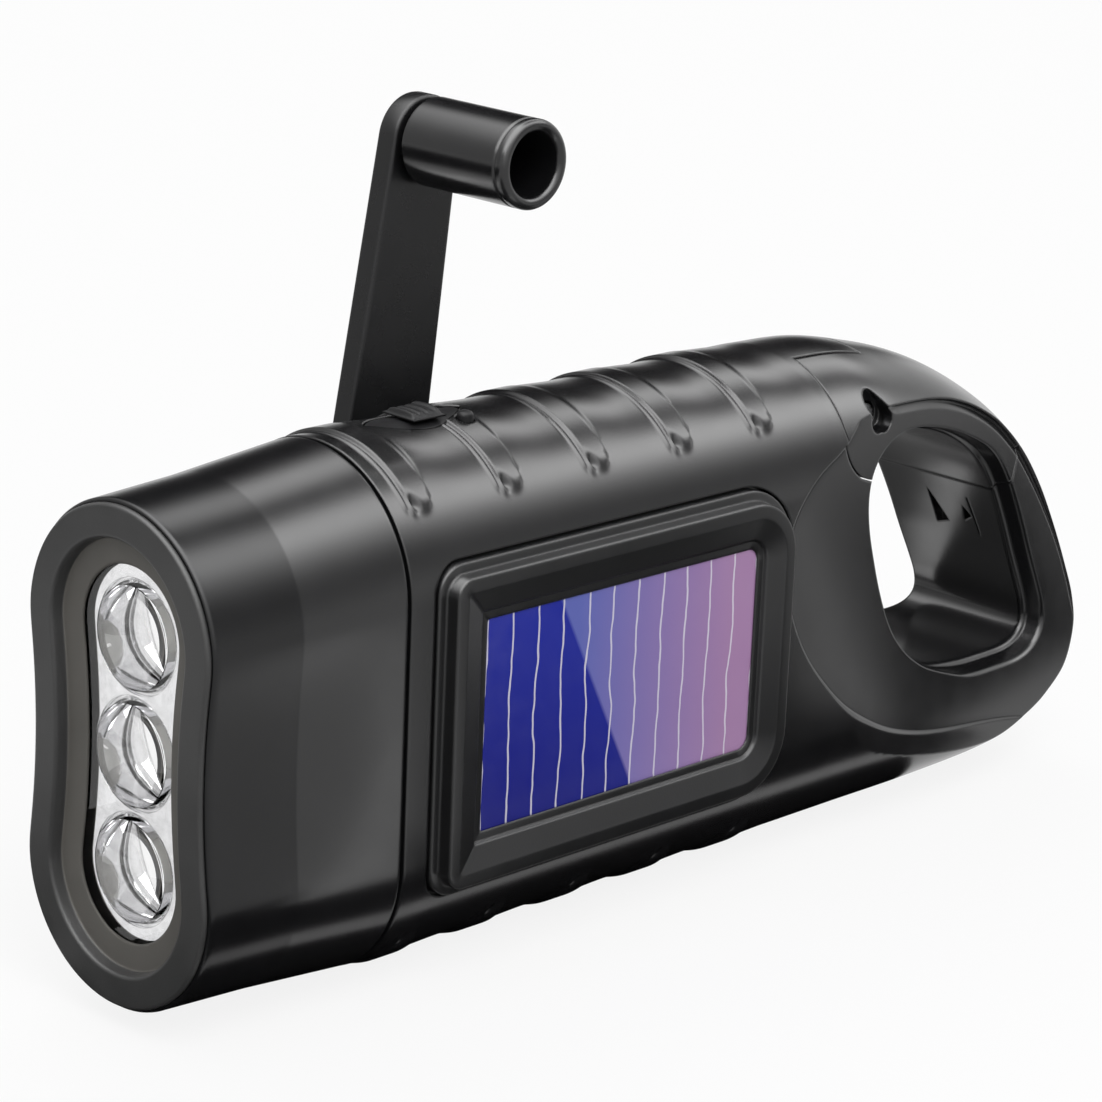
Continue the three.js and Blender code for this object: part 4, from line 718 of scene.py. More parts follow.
def leaf(length, width, steps=24):
    """A pointed oval: half width times the 0.8th power of a half sine wave along its length."""
    t = np.arange(steps) / steps
    upper = np.column_stack([length * (0.5 - t), 0.5 * width * np.sin(np.pi * t) ** 0.8])
    return np.vstack([upper, -upper]) + (BED_X, 0)


stem_room = brick(SWITCH_X - 2.7, SWITCH_X + 2.7, -1.6, 1.6, BODY_TOP - WALL - 4, FAR)
peg_bore = turned("peg_bore", [(1.0, 23), (1.0, 40)], PEG, "z", 32)
cut(housing, slab(panel_outline(-GAP), -FAR, -12.9), slab(leaf(13.2, 6.2), PLATE_BASE - GAP / 2, FAR, "z"),
    peg_bore, stem_room)
print("housing:", len(housing.data.polygons), "faces")

# %% Cover
SCREWS = [(31.0, 17.5), (31.0, -17.5), (82.5, 17.5), (82.5, -17.5)]
HUB_X, HUB_Z, RECESS_FLOOR = 44.6, 4.0, BODY_FAR - 1.8
cover = keep(twin(body, "cover"), cover_region(0))
cut(cover, body_block("cover_room", WALL, fine=False))
disc_floor = bar(HUB_X, HUB_Z, 12.6, RECESS_FLOOR - 2.2, RECESS_FLOOR + GAP)
pocket_cup = bar(POCKET_X, POCKET_Z, POCKET_RADIUS + 0.8, -KNOB_REACH, 12.2)
for place in (disc_floor, pocket_cup):
    add(cover, keep(place, twin(body, "body_again")))
recess = bar(HUB_X, HUB_Z, 11.3, RECESS_FLOOR, FAR, 96)
hub_bore = bar(HUB_X, HUB_Z, 5.07)
pocket = bar(POCKET_X, POCKET_Z, POCKET_RADIUS, 0.8 - KNOB_REACH)
screw_rooms = [bar(x, z, radius, low, FAR, 32) for x, z in SCREWS
               for radius, low in ((1.4, 0), (2.6, BODY_FAR - 3))]
cut(cover, recess, hub_bore, pocket, *screw_rooms)
print("cover:", len(cover.data.polygons), "faces")
bpy.data.objects.remove(body)

# %% [markdown]
# ## The lamp head
# Seen from the front, the head is two round lobes with a slight waist. Its skin, the spigot that plugs
# into the body, and the grey ring in front are each one closed profile carried round that outline. The
# profile gives, for each of its corners, how far back it lies and how far in from the skin.

# %% Head outline
HEAD_HALF, HEAD_SIDE, WAIST_DIP, CREASE_SHARE = 25.4, 13.5, 0.96, 0.34


def head_rings(places, insets, straight=False):
    """Rings across X: two lobes of half circles about moving centres, joined by parabolic waists.
    Sizes grow in two straight stretches from the front to the body, with a faint crease between
    them; the waist's dip fades out with an eased step."""
    places, insets = (np.asarray(values, float)[:, None] for values in (places, insets))
    t = np.interp(places, [0, CREASE_X, HEAD_LENGTH], [0, CREASE_SHARE, 1]) * (0 if straight else 1)
    top, bottom = (HEAD_HALF + (size - HEAD_HALF) * t for size in (BODY_TOP, BODY_BOTTOM))
    near, far, deep = (HEAD_SIDE + (size - HEAD_SIDE) * t for size in (BODY_NEAR, BODY_FAR, BODY_ROUND))
    lobe = np.radians(np.linspace(-90, 90, 61))
    run = np.linspace(1, -1, 32)[1:-1]
    out = np.concatenate([np.sin(lobe), np.ones(30), np.sin(lobe[::-1]), -np.ones(30)])
    lift = np.concatenate([np.cos(lobe), np.zeros(30), -np.cos(lobe), np.zeros(30)])
    centre = np.concatenate([np.ones(61), run, -np.ones(61), -run])
    waist = np.tile(np.concatenate([np.zeros(61), 1 - run ** 2]), 2)
    side = np.where(out < 0, near, far) - insets
    y = side * out - np.sign(out) * WAIST_DIP * (1 - ease(t)) * waist
    high, low = top - deep, deep - bottom
    z = low + (high - low) * (1 + centre) / 2 + (deep - insets) * lift
    grid = np.stack([np.repeat(places, len(out), 1), y, z], -1)
    return np.stack([blurred(ring, 1.6, True) for ring in grid])


def head_sleeve(name, profile, straight=False):
    """A closed profile of (place, inset) corners carried round the head's outline."""
    places, insets = np.asarray(profile, float).T
    return skin(name, head_rings(places, insets, straight), wrap_rows=True)


def rounded_corner(x, inset, radius, start, end, steps=6):
    """Points of a quarter round about (x, inset), by angle from the front towards the inside."""
    turn = np.radians(np.linspace(start, end, steps))
    return list(zip(x - radius * np.cos(turn), inset + radius * np.sin(turn)))


# %% Head pieces
front_edge = rounded_corner(0.92, 0.3, 0.3, 0, -90, 5)
skin_places = (*np.linspace(1.4, CREASE_X, 10), *np.linspace(CREASE_X + 0.3, HEAD_LENGTH - 0.5, 12))
rear_edge = rounded_corner(HEAD_LENGTH - 0.34, 0.34, 0.34, 270, 180)
rear_edge += [(HEAD_LENGTH, 0.7), (HEAD_LENGTH + 0.24, 0.72)]
head_inside = [(24.54, 2.3), (27.3, 2.3), (27.3, 3.5), (22.3, 3.5), (22.3, 2.0), (6.7, 2.0), (6.7, 5.0),
               (5.0, 5.0), (5.0, 2.85), (1.15, 2.85), (1.15, 1.0), (0.62, 1.0)]
head_profile = front_edge + [(x, 0.0) for x in skin_places] + rear_edge + head_inside
head_shell = head_sleeve("lamp_head", head_profile)

ring_profile = rounded_corner(0.32, 0.67, 0.32, -90, 0) + [(0.0, 1.6), (0.0, 2.6), (0.0, 3.3)]
ring_profile += rounded_corner(0.34, 3.35, 0.34, 0, 90, 7)
ring_profile += [(1.3, 3.85), (1.38, 3.95), (1.72, 6.35), (1.85, 6.5), (1.85, 3.0), (1.0, 3.0), (1.0, 0.85),
                 (0.56, 0.85), (0.56, 0.35)]
lens_ring = head_sleeve("lens_ring", ring_profile, straight=True)
print("head:", len(head_shell.data.polygons), "faces, ring:", len(lens_ring.data.polygons), "faces")

# %% [markdown]
# ## Lens, mirror cups and lamps
# Behind the opening lies one clear plate with three round lenses moulded on it. Behind it is a chromed
# plate with three deep cups, and in each cup stands a small clear lamp, which stays as the CAD has it.
# The cups are lathe shapes cut out of a block, so that they meet each other and the plate in real edges.

# %% Lens and mirror
LAMPS = (11.73, 0.0, -11.73)
LENS_RADIUS, CUP_RADIUS, CUP_END = 5.1, 5.3, 12.0


def inner_plate(name, front, back):
    """A plate inside the head's ring, 3 mm in from its outline."""
    return skin(name, head_rings([front, back], [3.0, 3.0], True))


def lens_button(z):
    """A round lens: a cap of a sphere on a short drum."""
    radius = LENS_RADIUS * np.sin(np.linspace(np.pi / 2, 0, 20))
    crown = 0.5 + 1.35 * (radius / LENS_RADIUS) ** 2
    return turned("lens", [(0, 2.6), (LENS_RADIUS, 2.6)] + list(zip(radius, crown)), (0, 0, z), "x")


lens_plate = inner_plate("lens", 2.0, 2.9)
add(lens_plate, *[lens_button(z) for z in LAMPS])


def mirror_cup(z, grow, front, back):
    """A cup about X: its radius goes with the root of the distance from a point behind the lamp."""
    depth = np.linspace(3.0, 10.25, 18)
    radius = CUP_RADIUS * np.sqrt((CUP_END - depth) / (CUP_END - depth[0])) + grow
    rim = [(0, front), (5.75 + grow, front), (5.75 + grow, 3.5), (5.5 + grow, 3.5), (5.5 + grow, 3.2)]
    return turned("cup", rim + list(zip(radius, depth))[1:] + [(radius[-1], back), (0, back)], (0, 0, z), "x")


mirror = inner_plate("mirror", 2.95, 4.85)
add(mirror, *[mirror_cup(z, 0.8, 3.1, 10.25) for z in LAMPS])
keep(mirror, inner_plate("mirror_room", 2.95, 14.0))
cut(mirror, *[mirror_cup(z, 0.0, 0.0, CUP_END) for z in LAMPS])
print("mirror:", len(mirror.data.polygons), "faces, lens:", len(lens_plate.data.polygons), "faces")

# %% [markdown]
# ## The solar panel's frame
# The frame is a moulding with mitred corners: a low outer step, a raised rim, and a ledge that holds
# the cell. One closed profile is carried round the rounded rectangle.

# %% Solar frame
FRAME_PROFILE = [
    (0.0, 13.2), (0.0, 14.3), (0.06, 14.44), (0.2, 14.5), (0.85, 14.5), (1.0, 14.56), (1.05, 14.7),
    (1.08, 15.85), (1.12, 16.0), (1.22, 16.08), (1.36, 16.1), (2.5, 16.1), (2.62, 16.07), (2.74, 16.0),
    (4.9, 15.5), (5.0, 15.42), (5.1, 15.12), (5.95, 15.1), (6.1, 15.05), (6.1, 15.0), (5.0, 15.0),
    (5.0, 13.2)]


def panel_sleeve(name, profile):
    """A closed profile of (inset, level) corners carried round the panel's outline."""
    rings = [upright(panel_outline(inset), -level) for inset, level in profile]
    return skin(name, np.array(rings), wrap_rows=True)


solar_frame = panel_sleeve("panel_frame", FRAME_PROFILE)
print("frame:", len(solar_frame.data.polygons), "faces")

# %% [markdown]
# ## Switch and charge lamp
# On top of the body sits a pointed oval bed with a slot. The thumb piece slides in it: a saddle with
# four cross ridges. Beside it a small peg lets the charge lamp's light out.

# %% Switch pieces
def crowned_leaf():
    """A pointed oval whose top falls by the square of the distance from its middle line."""
    t = np.linspace(0, 1, 41)[1:-1, None]
    v = np.linspace(-1, 1, 17)[None, :]
    half = 2.8 * np.sin(np.pi * t) ** 0.8
    fall = 0.03 + 0.5 * (half * v / 2.8) ** 2
    top = np.stack([BED_X + 12.6 * (0.5 - t) + 0 * v, half * v, PLATE_FACE - fall], -1)
    base = top.copy()
    base[:, :, 2] = PLATE_BASE
    return skin("switch_bed", np.concatenate([top, base[:, ::-1]], 1))


switch_bed = crowned_leaf()
cut(switch_bed, brick(SWITCH_X - 2.4, SWITCH_X + 2.4, -1.3, 1.3, 20, 40))

# %% Thumb piece and peg
SLIDER_X, SLIDER_BASE, THUMB_X, THUMB_Y = SWITCH_X - 1.0, PLATE_FACE + 0.2, 2.1, 2.3


def closed_tile(name, top, low):
    """A grid of points as the top of a closed block, with walls down to one flat level."""
    rows, cols = top.shape[:2]
    under = top.copy()
    under[:, :, 2] = low
    index = np.arange(rows * cols).reshape(rows, cols)
    rim = np.concatenate([index[0], index[1:, -1], index[-1, -2::-1], index[-2:0:-1, 0]])
    below = rim + rows * cols
    walls = np.stack([rim, np.roll(rim, -1), np.roll(below, -1), below], 1).tolist()
    points = np.vstack([top.reshape(-1, 3), under.reshape(-1, 3)])
    return from_parts(name, points, ring_faces(rows, cols, False, False) + walls + [below.tolist()])


def thumb_piece():
    """A dished saddle: its height goes with the square of X, more at the rear end, with four ridges
    along Y that fade before the edges. It falls with the square of Y, and eases down at the rim."""
    x = np.linspace(-THUMB_X, THUMB_X, 97)[:, None]
    y = np.linspace(-THUMB_Y, THUMB_Y, 41)[None, :]
    wave = np.cos(4 * np.pi * (x / THUMB_X + 1) + np.pi)
    ridge = ease(0.5 + 0.9 * wave) * ease((1.95 - np.abs(y)) / 0.5)
    edge = ease((THUMB_X - np.abs(x)) / 0.5) * ease((THUMB_Y - np.abs(y)) / 0.6)
    dish = 0.4 + np.where(x > 0, 0.4, 0.2) * (x / THUMB_X) ** 2 - 0.3 * (y / THUMB_Y) ** 2
    height = 0.18 + edge * (dish + 0.17 * ridge * (1 - 0.6 * (x / THUMB_X) ** 2))
    top = np.stack([x + 0 * y + SLIDER_X, y + 0 * x, SLIDER_BASE + height], -1)
    return closed_tile("thumb_piece", top, SLIDER_BASE)


stem = brick(SLIDER_X - 1.1, SLIDER_X + 1.1, -1, 1, BODY_TOP - WALL - GAP, SLIDER_BASE + 0.3)
thumb = add(thumb_piece(), stem)
peg_profile = [(0.85, 25.5), (0.85, 27.75), (0.82, 27.95), (0.7, 28.14), (0.48, 28.26), (0.22, 28.3),
               (0, 28.3)]
charge_peg = turned("charge_peg", peg_profile, PEG, "z", 48)
print("thumb piece:", len(thumb.data.polygons), "faces")

# %% [markdown]
# ## The crank
# The crank is a disc in the side cover with an arm hinged in it, and a hollow knob that turns on a
# pin at the arm's end. It is built upright and then leans towards the tail, as in the photograph.

# %% Crank pieces
ARM_IN, ARM_OUT, CRANK_RADIUS, LEAN = 13.5, 16.2, 48.1, np.radians(8.2)
ARM_MID, FOOT_Z, FOOT_HALF, TIP_HALF, TIP_RADIUS = (ARM_IN + ARM_OUT) / 2, 11.6, 6.3, 4.65, 4.64
BLADE_EDGE = [(0.45, 0.0), (0.2, 0.06), (0.05, 0.2), (0.0, 0.45)]


def leaned(piece):
    """Turns an upright piece about the hub's axis by the crank's lean."""
    hub = Vector(framed([HUB_X, 0, HUB_Z]))
    turn = Matrix.Translation(hub) @ Matrix.Rotation(LEAN, 4, "Y") @ Matrix.Translation(-hub)
    piece.data.transform(turn)
    return piece


def line(start, end, count=20):
    """Evenly spaced points from start to end."""
    return np.column_stack([np.linspace(a, b, count) for a, b in zip(start, end)])


def arm_blade():
    """Rings of the tapering blade's outline: the edge is rounded by moving the first and last in."""
    slant = np.arcsin((FOOT_HALF - TIP_HALF) / CRANK_RADIUS)
    turn = np.linspace(slant, np.pi - slant, 60)
    foot = (FOOT_HALF - FOOT_Z * np.sin(slant)) / np.cos(slant)
    tip = np.column_stack([TIP_RADIUS * np.cos(turn), CRANK_RADIUS + TIP_RADIUS * np.sin(turn)])
    outline = np.vstack([tip, line(tip[-1], (-foot, FOOT_Z))[1:], line((foot, FOOT_Z), tip[0])[:-1]])
    levels = [(inset, ARM_IN + rise) for inset, rise in BLADE_EDGE]
    levels += [(inset, ARM_OUT - rise) for inset, rise in BLADE_EDGE[::-1]]
    rings = [upright(outset(outline, -inset) + (HUB_X, HUB_Z), y) for inset, y in levels]
    return skin("crank_blade", np.array(rings))


def across(radius, y, z, half, sides=48):
    """A round bar along X through the hub's plane."""
    return turned("across", [(radius, -half), (radius, half)], (HUB_X, y, z), "x", sides)


arm = arm_blade()
add(arm, brick(HUB_X - 4, HUB_X + 4, ARM_IN, ARM_OUT, HUB_Z, HUB_Z + 13.6))
add(arm, across(1.35, ARM_MID, HUB_Z, 4.0))
cut(arm, across(0.92, ARM_MID, HUB_Z, FAR), bar(HUB_X, HUB_Z + CRANK_RADIUS, 1.2),
    bar(HUB_X, HUB_Z + CRANK_RADIUS, 2.5, ARM_OUT - 0.8))

# %% Crank disc and knob
disc_profile = [(0, 11.7), (10.8, 11.7), (11.0, 11.9), (11.0, 15.7), (10.86, 16.06), (10.5, 16.2), (0, 16.2)]
hub = turned("crank_disc", disc_profile, (HUB_X, 0, HUB_Z), "y", 144)
stub_end = 1000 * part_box("crank_hub")[0].y - SHIFT[1]
add(hub, bar(HUB_X, HUB_Z, 3.5, stub_end, 12.4))
cut(hub, brick(HUB_X - 4.3, HUB_X + 4.3, 13.2, FAR, -80, 80), across(0.86, ARM_MID, HUB_Z, FAR))

rim = np.radians(np.linspace(0, 180, 13))
knob_profile = [(1.22, 13.2), (3.8, 13.2), (3.8, 12.75), (4.3, 12.7), (4.54, 12.6), (4.62, 12.4),
                (4.62, -0.55), (4.5, -0.66), (4.5, -0.84), (4.62, -0.95)]
knob_profile += list(zip(3.96 + 0.66 * np.cos(rim), -1.44 - 0.66 * np.sin(rim)))
knob_profile += [(3.3, 11.4), (3.1, 11.6), (1.22, 11.6)]
knob = turned("crank_handle", knob_profile, (HUB_X, 0, HUB_Z + CRANK_RADIUS), "y", 120, ring=True)
for piece in (arm, hub, knob):
    leaned(piece)
print("arm:", len(arm.data.polygons), "faces, knob:", len(knob.data.polygons), "faces")

# %% [markdown]
# ## The cell
# A small solar cell is a blue-black wafer under clear resin, crossed by thin silver lines. A reflection
# of the sky is painted into its colour: deep blue on the left of a slanting line, paler and pinkish on
# its right.

# %% Cell look
CELL_X, CELL_LENGTH, CELL_HALF = 34.4, 38.7, 11.1


def cell_with_painted_glare():
    """Colour is mixed along X and across a slanting line; the lines are thin bands at equal steps. The
    paler, pinkish side of the line is a painted reflection, and the deep blue side gets a little lighter
    towards the top and the tail.
    """
    made, tree, shader, place = nodes_of("cell_with_painted_glare")
    spot = parts_of(tree, place)
    start, _, middle = (float(value) for value in framed([CELL_X, 0, 0]))
    along = calc(tree, "MULTIPLY", calc(tree, "SUBTRACT", spot["X"], start), 1000 / CELL_LENGTH)
    height = calc(tree, "MULTIPLY", calc(tree, "SUBTRACT", spot["Z"], middle), 1000 / CELL_HALF)
    drift = calc(tree, "MULTIPLY", noise(tree, place, 60, 1), 0.03)
    wave = calc(tree, "MULTIPLY", calc(tree, "SUBTRACT", noise(tree, place, 170, 2), 0.5), 0.36)
    # painted reflection of the sky: right of this slanting line the deep blue turns into a paler glare,
    # blue-violet to pinkish along X
    slant = calc(tree, "SUBTRACT", calc(tree, "ADD", along, calc(tree, "MULTIPLY", height, 0.148)), 0.408)
    depth = spread(tree, calc(tree, "ADD", height, along), 0, 1, -1, 1)
    dark = between(tree, depth, (0.012, 0.014, 0.17), (0.02, 0.028, 0.28))
    glare_blend = spread(tree, calc(tree, "ADD", along, drift), 0, 1, 0.35, 0.95)
    pale = between(tree, glare_blend, (0.11, 0.13, 0.4), (0.34, 0.2, 0.36))
    shade = between(tree, spread(tree, slant, 0, 1, -0.006, 0.006), dark, pale)
    count = calc(tree, "MULTIPLY", calc(tree, "SUBTRACT", along, 0.088), 10.81)
    beat = calc(tree, "FRACT", calc(tree, "ADD", count, calc(tree, "ADD", wave, 0.5)))
    line_here = calc(tree, "LESS_THAN", calc(tree, "ABSOLUTE", calc(tree, "SUBTRACT", beat, 0.5)), 0.032)
    drawn = between(tree, calc(tree, "MULTIPLY", line_here, 0.8), shade, (0.62, 0.6, 0.68))
    feed(tree, shader["Base Color"], drawn)
    feed(tree, shader["Roughness"], spread(tree, noise(tree, place, 500, 3), 0.12, 0.2))
    return made


cell = cell_with_painted_glare()
print("cell length in mm:", CELL_LENGTH)

# %% Clear looks
def clear_resin(name, tint, rough, clearness=1.0):
    """Clear plastic: a faint tint, patchy gloss and a bend of light like acrylic's."""
    made, tree, shader, place = nodes_of(name)
    tint = np.asarray(tint)
    mottle = spread(tree, noise(tree, place, 300), 0, 1)
    feed(tree, shader["Base Color"], between(tree, mottle, 0.97 * tint, tint))
    feed(tree, shader["Roughness"], spread(tree, noise(tree, place, 700, 3), 0.85 * rough, 1.15 * rough))
    feed(tree, shader["Transmission Weight"], clearness)
    feed(tree, shader["IOR"], 1.49)
    return made


clear_lens = clear_resin("clear_lens", (0.99, 0.99, 0.99), 0.015)
lamp_resin = clear_resin("lamp_resin", (0.98, 0.97, 0.93), 0.15, 0.5)
print("materials:", len(bpy.data.materials))

# %% [markdown]
# ## Handing over
# Each new piece stands for its CAD node and rides on the same body. The other CAD nodes keep their
# shape; a small node group smooths their shading except at edges sharper than 30 degrees.

# %% Smoothing and riding
SHARP = float(np.radians(30))


def smooth_by_angle():
    """A modifier: merge the loose triangles' corners, shade smooth, keep sharp edges sharp."""
    group = bpy.data.node_groups.new("soft_shading", "GeometryNodeTree")
    for way in ("INPUT", "OUTPUT"):
        group.interface.new_socket("Geometry", in_out=way, socket_type="NodeSocketGeometry")
    start = put(group, "NodeGroupInput").outputs[0]
    merged = put(group, "GeometryNodeMergeByDistance", {"Geometry": start, "Distance": 1e-7})
    smooth = put(group, "GeometryNodeSetShadeSmooth", {"Geometry": merged.outputs["Geometry"]})
    angle = put(group, "GeometryNodeInputMeshEdgeAngle").outputs["Unsigned Angle"]
    sharp = put(group, "FunctionNodeCompare", {"A": angle, "B": SHARP}, data_type="FLOAT",
                operation="GREATER_THAN")
    sockets = {"Geometry": smooth.outputs["Geometry"], "Selection": sharp.outputs["Result"]}
    sockets["Shade Smooth"] = False
    edges = put(group, "GeometryNodeSetShadeSmooth", sockets, domain="EDGE")
    put(group, "NodeGroupOutput", {0: edges.outputs["Geometry"]})
    return group


def dress(piece, look, body_name, node):
    """Gives a finished piece its look and shading, puts it on its body, and hides the CAD node that it stands
    for.
    """
    piece.data.materials.clear()
    piece.data.materials.append(look)
    piece.data.polygons.foreach_set("use_smooth", [True] * len(piece.data.polygons))
    piece.data.set_sharp_from_angle(angle=SHARP)
    piece.modifiers.new("even_shading", "WEIGHTED_NORMAL").keep_sharp = True
    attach(piece, body_name)
    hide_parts(node)


# %% Dressing each piece
dress(housing, shell_black, "body", "main_housing")
dress(cover, shell_black, "body", "crank_side_cover")
dress(gate, shell_black, "gate", "gate")
dress(head_shell, head_black, "body", "head_shell")
dress(lens_ring, ring_grey, "body", "front_bezel")
# the faces behind the ledge's edge get the lighter copy of the ring's grey: painted light on the ledge
lens_ring.data.materials.append(ledge_painted_light)
LEDGE_X = 1.34
ledge_start = float(framed([LEDGE_X, 0, 0])[0])
on_ledge = [int(face.center.x > ledge_start) for face in lens_ring.data.polygons]
lens_ring.data.polygons.foreach_set("material_index", on_ledge)
dress(lens_plate, clear_lens, "body", "lens_plate")
dress(mirror, chrome, "body", "reflector")
dress(solar_frame, satin_black, "body", "solar_frame")
dress(switch_bed, grip_black, "body", "switch_plate")
dress(thumb, grip_black, "switch_slider", "switch_slider")
dress(charge_peg, grip_black, "body", "charge_indicator")
dress(arm, arm_black, "crank_arm", "crank_arm")
dress(hub, satin_black, "crank_hub", "crank_hub")
dress(knob, shell_black, "knob", "crank_knob")
print("faces of the ring's ledge:", sum(on_ledge))

# %% CAD nodes that stay
soft_shading = smooth_by_angle()
kept = {
    satin_black: ("switch_body", "gear_plate"),
    steel: ("gate_pin", "gate_spring", "case_screw_1", "case_screw_2", "case_screw_3", "case_screw_4",
            "arm_hinge_pin", "knob_pin", "drive_gear_screw", "gear_axle_1", "gear_axle_2", "stator_can",
            "rotor_shaft"),
    brass: ("hub_bush", "rotor_pinion"),
    gear_white: ("drive_gear", "compound_gear_1", "compound_gear_2"),
    cell: ("solar_cell",),
    board_green: ("led_board", "solar_backing_board", "circuit_board"),
    copper_wire: ("coil_winding",),
    magnet_grey: ("rotor_magnet",),
    lamp_resin: ("led_1", "led_2", "led_3"),
    battery_blue: ("battery_pack",),
}
for look, names in kept.items():
    for name in names:
        node = bpy.data.objects[name]
        node.data.materials.clear()
        node.data.materials.append(look)
        node.modifiers.new("soft_shading", "NODES").node_group = soft_shading
print("kept CAD nodes:", sum(len(names) for names in kept.values()))

# %% [markdown]
# ## Floor, backdrop and lamps
# The photograph has a pure white ground. The floor's look is white where the camera, a mirror or a
# lens sees it, with a small share of real diffuse white that keeps the shadow. The sky is plain white
# where it is seen, and about half as bright as a light. Two soft lamps add some light from one side.

# %% Ground and sky
GLOW_SHARE, SKY_PLAIN, GROUND_HALF = 0.86, 0.55, 4000.0


def bare(owner):
    """The node tree of a material or a world, emptied."""
    owner.use_nodes = True
    owner.node_tree.nodes.clear()
    return owner.node_tree


def seen_straight(tree):
    """1 where the camera, gloss or glass looks, and 0 for light on its way to the part."""
    path = put(tree, "ShaderNodeLightPath").outputs
    first = calc(tree, "MAXIMUM", path["Is Camera Ray"], path["Is Glossy Ray"])
    return calc(tree, "MAXIMUM", first, path["Is Transmission Ray"])


def mixed(tree, share, plain, seen, out):
    """Ends a tree with a mix of two shaders."""
    mix = put(tree, "ShaderNodeMixShader", {0: share, 1: plain.outputs[0], 2: seen.outputs[0]})
    put(tree, out, {"Surface": mix.outputs[0]})


def white_ground():
    """White light where the camera, gloss or glass looks at it, mixed with a diffuse white."""
    made = bpy.data.materials.new("white_ground")
    tree = bare(made)
    plain = put(tree, "ShaderNodeBsdfDiffuse", {"Color": (0.8, 0.8, 0.8, 1)})
    share = calc(tree, "MULTIPLY", seen_straight(tree), GLOW_SHARE)
    mixed(tree, share, plain, put(tree, "ShaderNodeEmission"), "ShaderNodeOutputMaterial")
    return made


corners = np.array([[-1, -1, 0], [1, -1, 0], [1, 1, 0], [-1, 1, 0]]) * GROUND_HALF
floor = from_parts("ground", corners - SHIFT, [[0, 1, 2, 3]])
floor.data.materials.append(white_ground())

world = bpy.data.worlds.new("studio")
bpy.context.scene.world = world
sky = bare(world)
plain, seen = (put(sky, "ShaderNodeBackground", {"Color": (1, 1, 1, 1), "Strength": strength})
               for strength in (SKY_PLAIN, 1.0))
mixed(sky, seen_straight(sky), plain, seen, "ShaderNodeOutputWorld")
print("ground corners in mm:", corners[0, :2], corners[2, :2])

# %% Lamps
MIDDLE_X = 65


def soft_lamp(name, direction, distance, long, wide, power):
    """A square lamp that shines on the part from a direction; gloss doesn't show it as a shape."""
    light = bpy.data.lights.new(name, "AREA")
    light.shape, light.size, light.size_y, light.energy = "RECTANGLE", long, wide, power
    lamp = bpy.data.objects.new(name, light)
    bpy.context.scene.collection.objects.link(lamp)
    towards = Vector(direction).normalized()
    side = Vector((0, 0, 1)).cross(towards).normalized()
    over = towards.cross(side)
    place = Vector(framed([MIDDLE_X, 0, 0])) + distance * towards
    lamp.matrix_world = Matrix((*((side[k], over[k], towards[k], place[k]) for k in range(3)), (0, 0, 0, 1)))
    lamp.visible_camera = lamp.visible_glossy = False


soft_lamp("key_lamp", (-0.35, -0.7, 0.9), 1.2, 0.8, 0.8, 9.0)
soft_lamp("fill_lamp", (0.5, 0.6, 0.8), 1.2, 0.8, 0.8, 4.0)
print("lamps:", len(bpy.data.lights))

# %% [markdown]
# ## What the gloss reflects
# Gloss black shows only what it reflects. A long tunnel round the table stands in for the strip lamps
# and dark cards of a studio, and only reflections see it. Where the body faces the sky at an angle t
# from the solar side, the camera sees the tunnel at 2t - 23 degrees, so BANDS can be read as a row of
# bands up the side of the body. FRONT is the same for what lies in front of the part, which rib fronts
# and rounded edges look at. Each stop is an angle in degrees and a brightness.

# %% Light tunnel
BANDS = [(-75, 0.1), (-45, 0.15), (-32, 0.7), (-20, 1.1), (0, 1.0), (14, 0.6), (26, 0.5), (38, 1.2),
         (50, 3.6), (60, 6.8), (72, 6.2), (79, 2.4), (86, 0.6), (95, 0.7), (103, 3.6), (114, 3.9),
         (122, 1.2), (130, 0.1), (138, 0.0), (168, 0.0), (176, 0.9), (180, 1.0)]
FRONT = [(-170, 0.4), (-80, 0.3), (-60, 0.3), (-52, 5.5), (-42, 5.5), (-33, 0.5), (0, 1.2), (36, 2.5),
         (54, 8.0), (84, 9.0), (112, 8.0), (128, 2.5), (142, 0.6), (180, 0.8)]
BRIGHTEST, END_GLOW = 9.0, 1.2


def ramp_of(tree, share, levels):
    """A smooth ramp through (degrees, level) stops, as a share of the brightest level."""
    ramp = put(tree, "ShaderNodeValToRGB", {0: share})
    ramp.color_ramp.interpolation = "B_SPLINE"
    stops = ramp.color_ramp.elements
    while len(stops) < len(levels):
        stops.new(0.5)
    for stop, (degrees, level) in zip(stops, levels):
        stop.position = 0.5 + degrees / 360
        stop.color = (*[level / BRIGHTEST] * 3, 1)
    return ramp.outputs["Color"]


def glow_look(name, level, colour_of=None):
    """A material that only shines: white, or in the colour that a function makes in its tree."""
    made = bpy.data.materials.new(name)
    tree = bare(made)
    glow = put(tree, "ShaderNodeEmission", {"Strength": level})
    if colour_of:
        feed(tree, glow.inputs["Color"], colour_of(tree))
    put(tree, "ShaderNodeOutputMaterial", {"Surface": glow.outputs[0]})
    return made


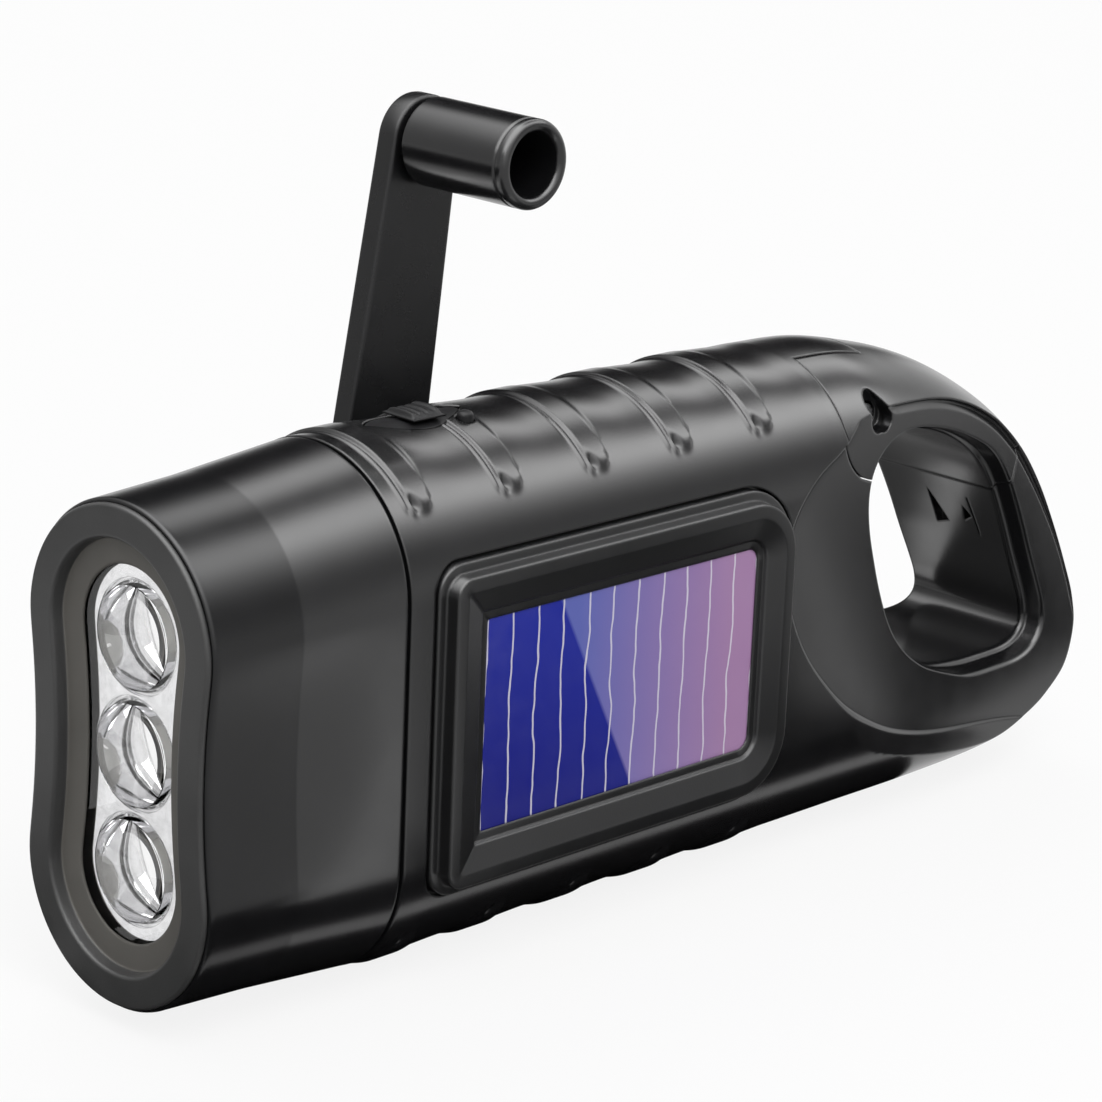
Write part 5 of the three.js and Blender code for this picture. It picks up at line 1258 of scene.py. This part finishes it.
def band_colour(tree):
    """Glow as a function of the angle about X, from the solar side over the top. Behind the part it
    follows BANDS; in front of it, where rib fronts and edges look, it follows FRONT. Far out along X
    it is a plain white, so that the part doesn't shine like metal when it is seen along its length."""
    spot = parts_of(tree, put(tree, "ShaderNodeTexCoord").outputs["Object"])
    angle = calc(tree, "ARCTAN2", spot["Z"], calc(tree, "MULTIPLY", spot["Y"], -1))
    share = spread(tree, angle, 0, 1, -np.pi, np.pi)
    behind = spread(tree, spot["X"], 0, 1, 0.05, 0.3)
    zone = between(tree, behind, ramp_of(tree, share, FRONT), ramp_of(tree, share, BANDS))
    ends = spread(tree, calc(tree, "ABSOLUTE", spot["X"]), 0, 1, 1.35, 1.65)
    return between(tree, ends, zone, [END_GLOW / BRIGHTEST] * 3)


def reflections_only(piece):
    """Keeps a staged piece out of everything but gloss."""
    piece.visible_camera = piece.visible_diffuse = piece.visible_transmission = piece.visible_shadow = False


TUNNEL_RADIUS, TUNNEL_END = 900, 1800
tunnel = turned("tunnel", [(TUNNEL_RADIUS, -TUNNEL_END), (TUNNEL_RADIUS, TUNNEL_END)], (0, 0, 0), "x")
tunnel.data.materials.append(glow_look("band_look", BRIGHTEST, band_colour))
reflections_only(tunnel)
print("bands:", len(BANDS), "in front:", len(FRONT))

# %% [markdown]
# ## Cards on the floor
# Low on the body, gloss looks down at the floor. Dark cards there keep the flat sides and the lower
# rounding black, and the gap between cards 1 and 2 is the thin bright line low on the body. The pale
# card is seen in the head's flat side. The bright strip, the dim card and the hole's card shape the
# light on the walls of the carabiner's loop. Only reflections see the cards.

# %% Floor cards
card_look, _, shader, _ = nodes_of("card_look")
for socket, value in (("Base Color", (0.01, 0.01, 0.01, 1)), ("Roughness", 1.0), ("Specular IOR Level", 0.0)):
    shader[socket].default_value = value


def floor_card(number, corners, look=card_look):
    """A card that lies on the floor, given by its four corners' X and Y on the sheet."""
    level = 0.2 + 0.01 * number - SHIFT[2]
    card = from_parts("floor_card_%d" % number, [(x, y, level) for x, y in corners], [[0, 1, 2, 3]])
    card.data.materials.append(look)
    reflections_only(card)


def seen_in_side(x, y):
    """The place on the floor that the camera sees in the body's flat side at X, for a Y out there:
    the reflected view moves a little more along X than along Y."""
    return x - 1.03 * (y + BODY_NEAR), y


def oblong(x0, x1, y0, y1):
    """The four corners of a card along X and Y."""
    return [(x0, y0), (x1, y0), (x1, y1), (x0, y1)]


floor_card(1, oblong(-60, 136, -47, -18.5))
floor_card(2, oblong(-60, 112, -15, 15))
floor_card(3, oblong(-60, 85, 18.5, 47))
floor_card(4, [seen_in_side(26, -48), seen_in_side(88, -48), seen_in_side(88, -210), seen_in_side(26, -210)])
floor_card(5, [(28, -35), (43, -35), (105, -110), (91, -110)], glow_look("pale_card", 1.9))
floor_card(6, [(128, -26), (190, -26), (330, -95), (240, -95)])
floor_card(7, oblong(-30, 90, 84.5, 92), glow_look("bright_strip", 3.5))
floor_card(8, oblong(-400, 60, 120, 420))
floor_card(9, oblong(106, 150, 6, 50), glow_look("dim_card", 0.35))
floor_card(10, [(108, 18), (123.5, 18), (123.5, 25), (117, 29.3)], glow_look("hole_card", 2.3))
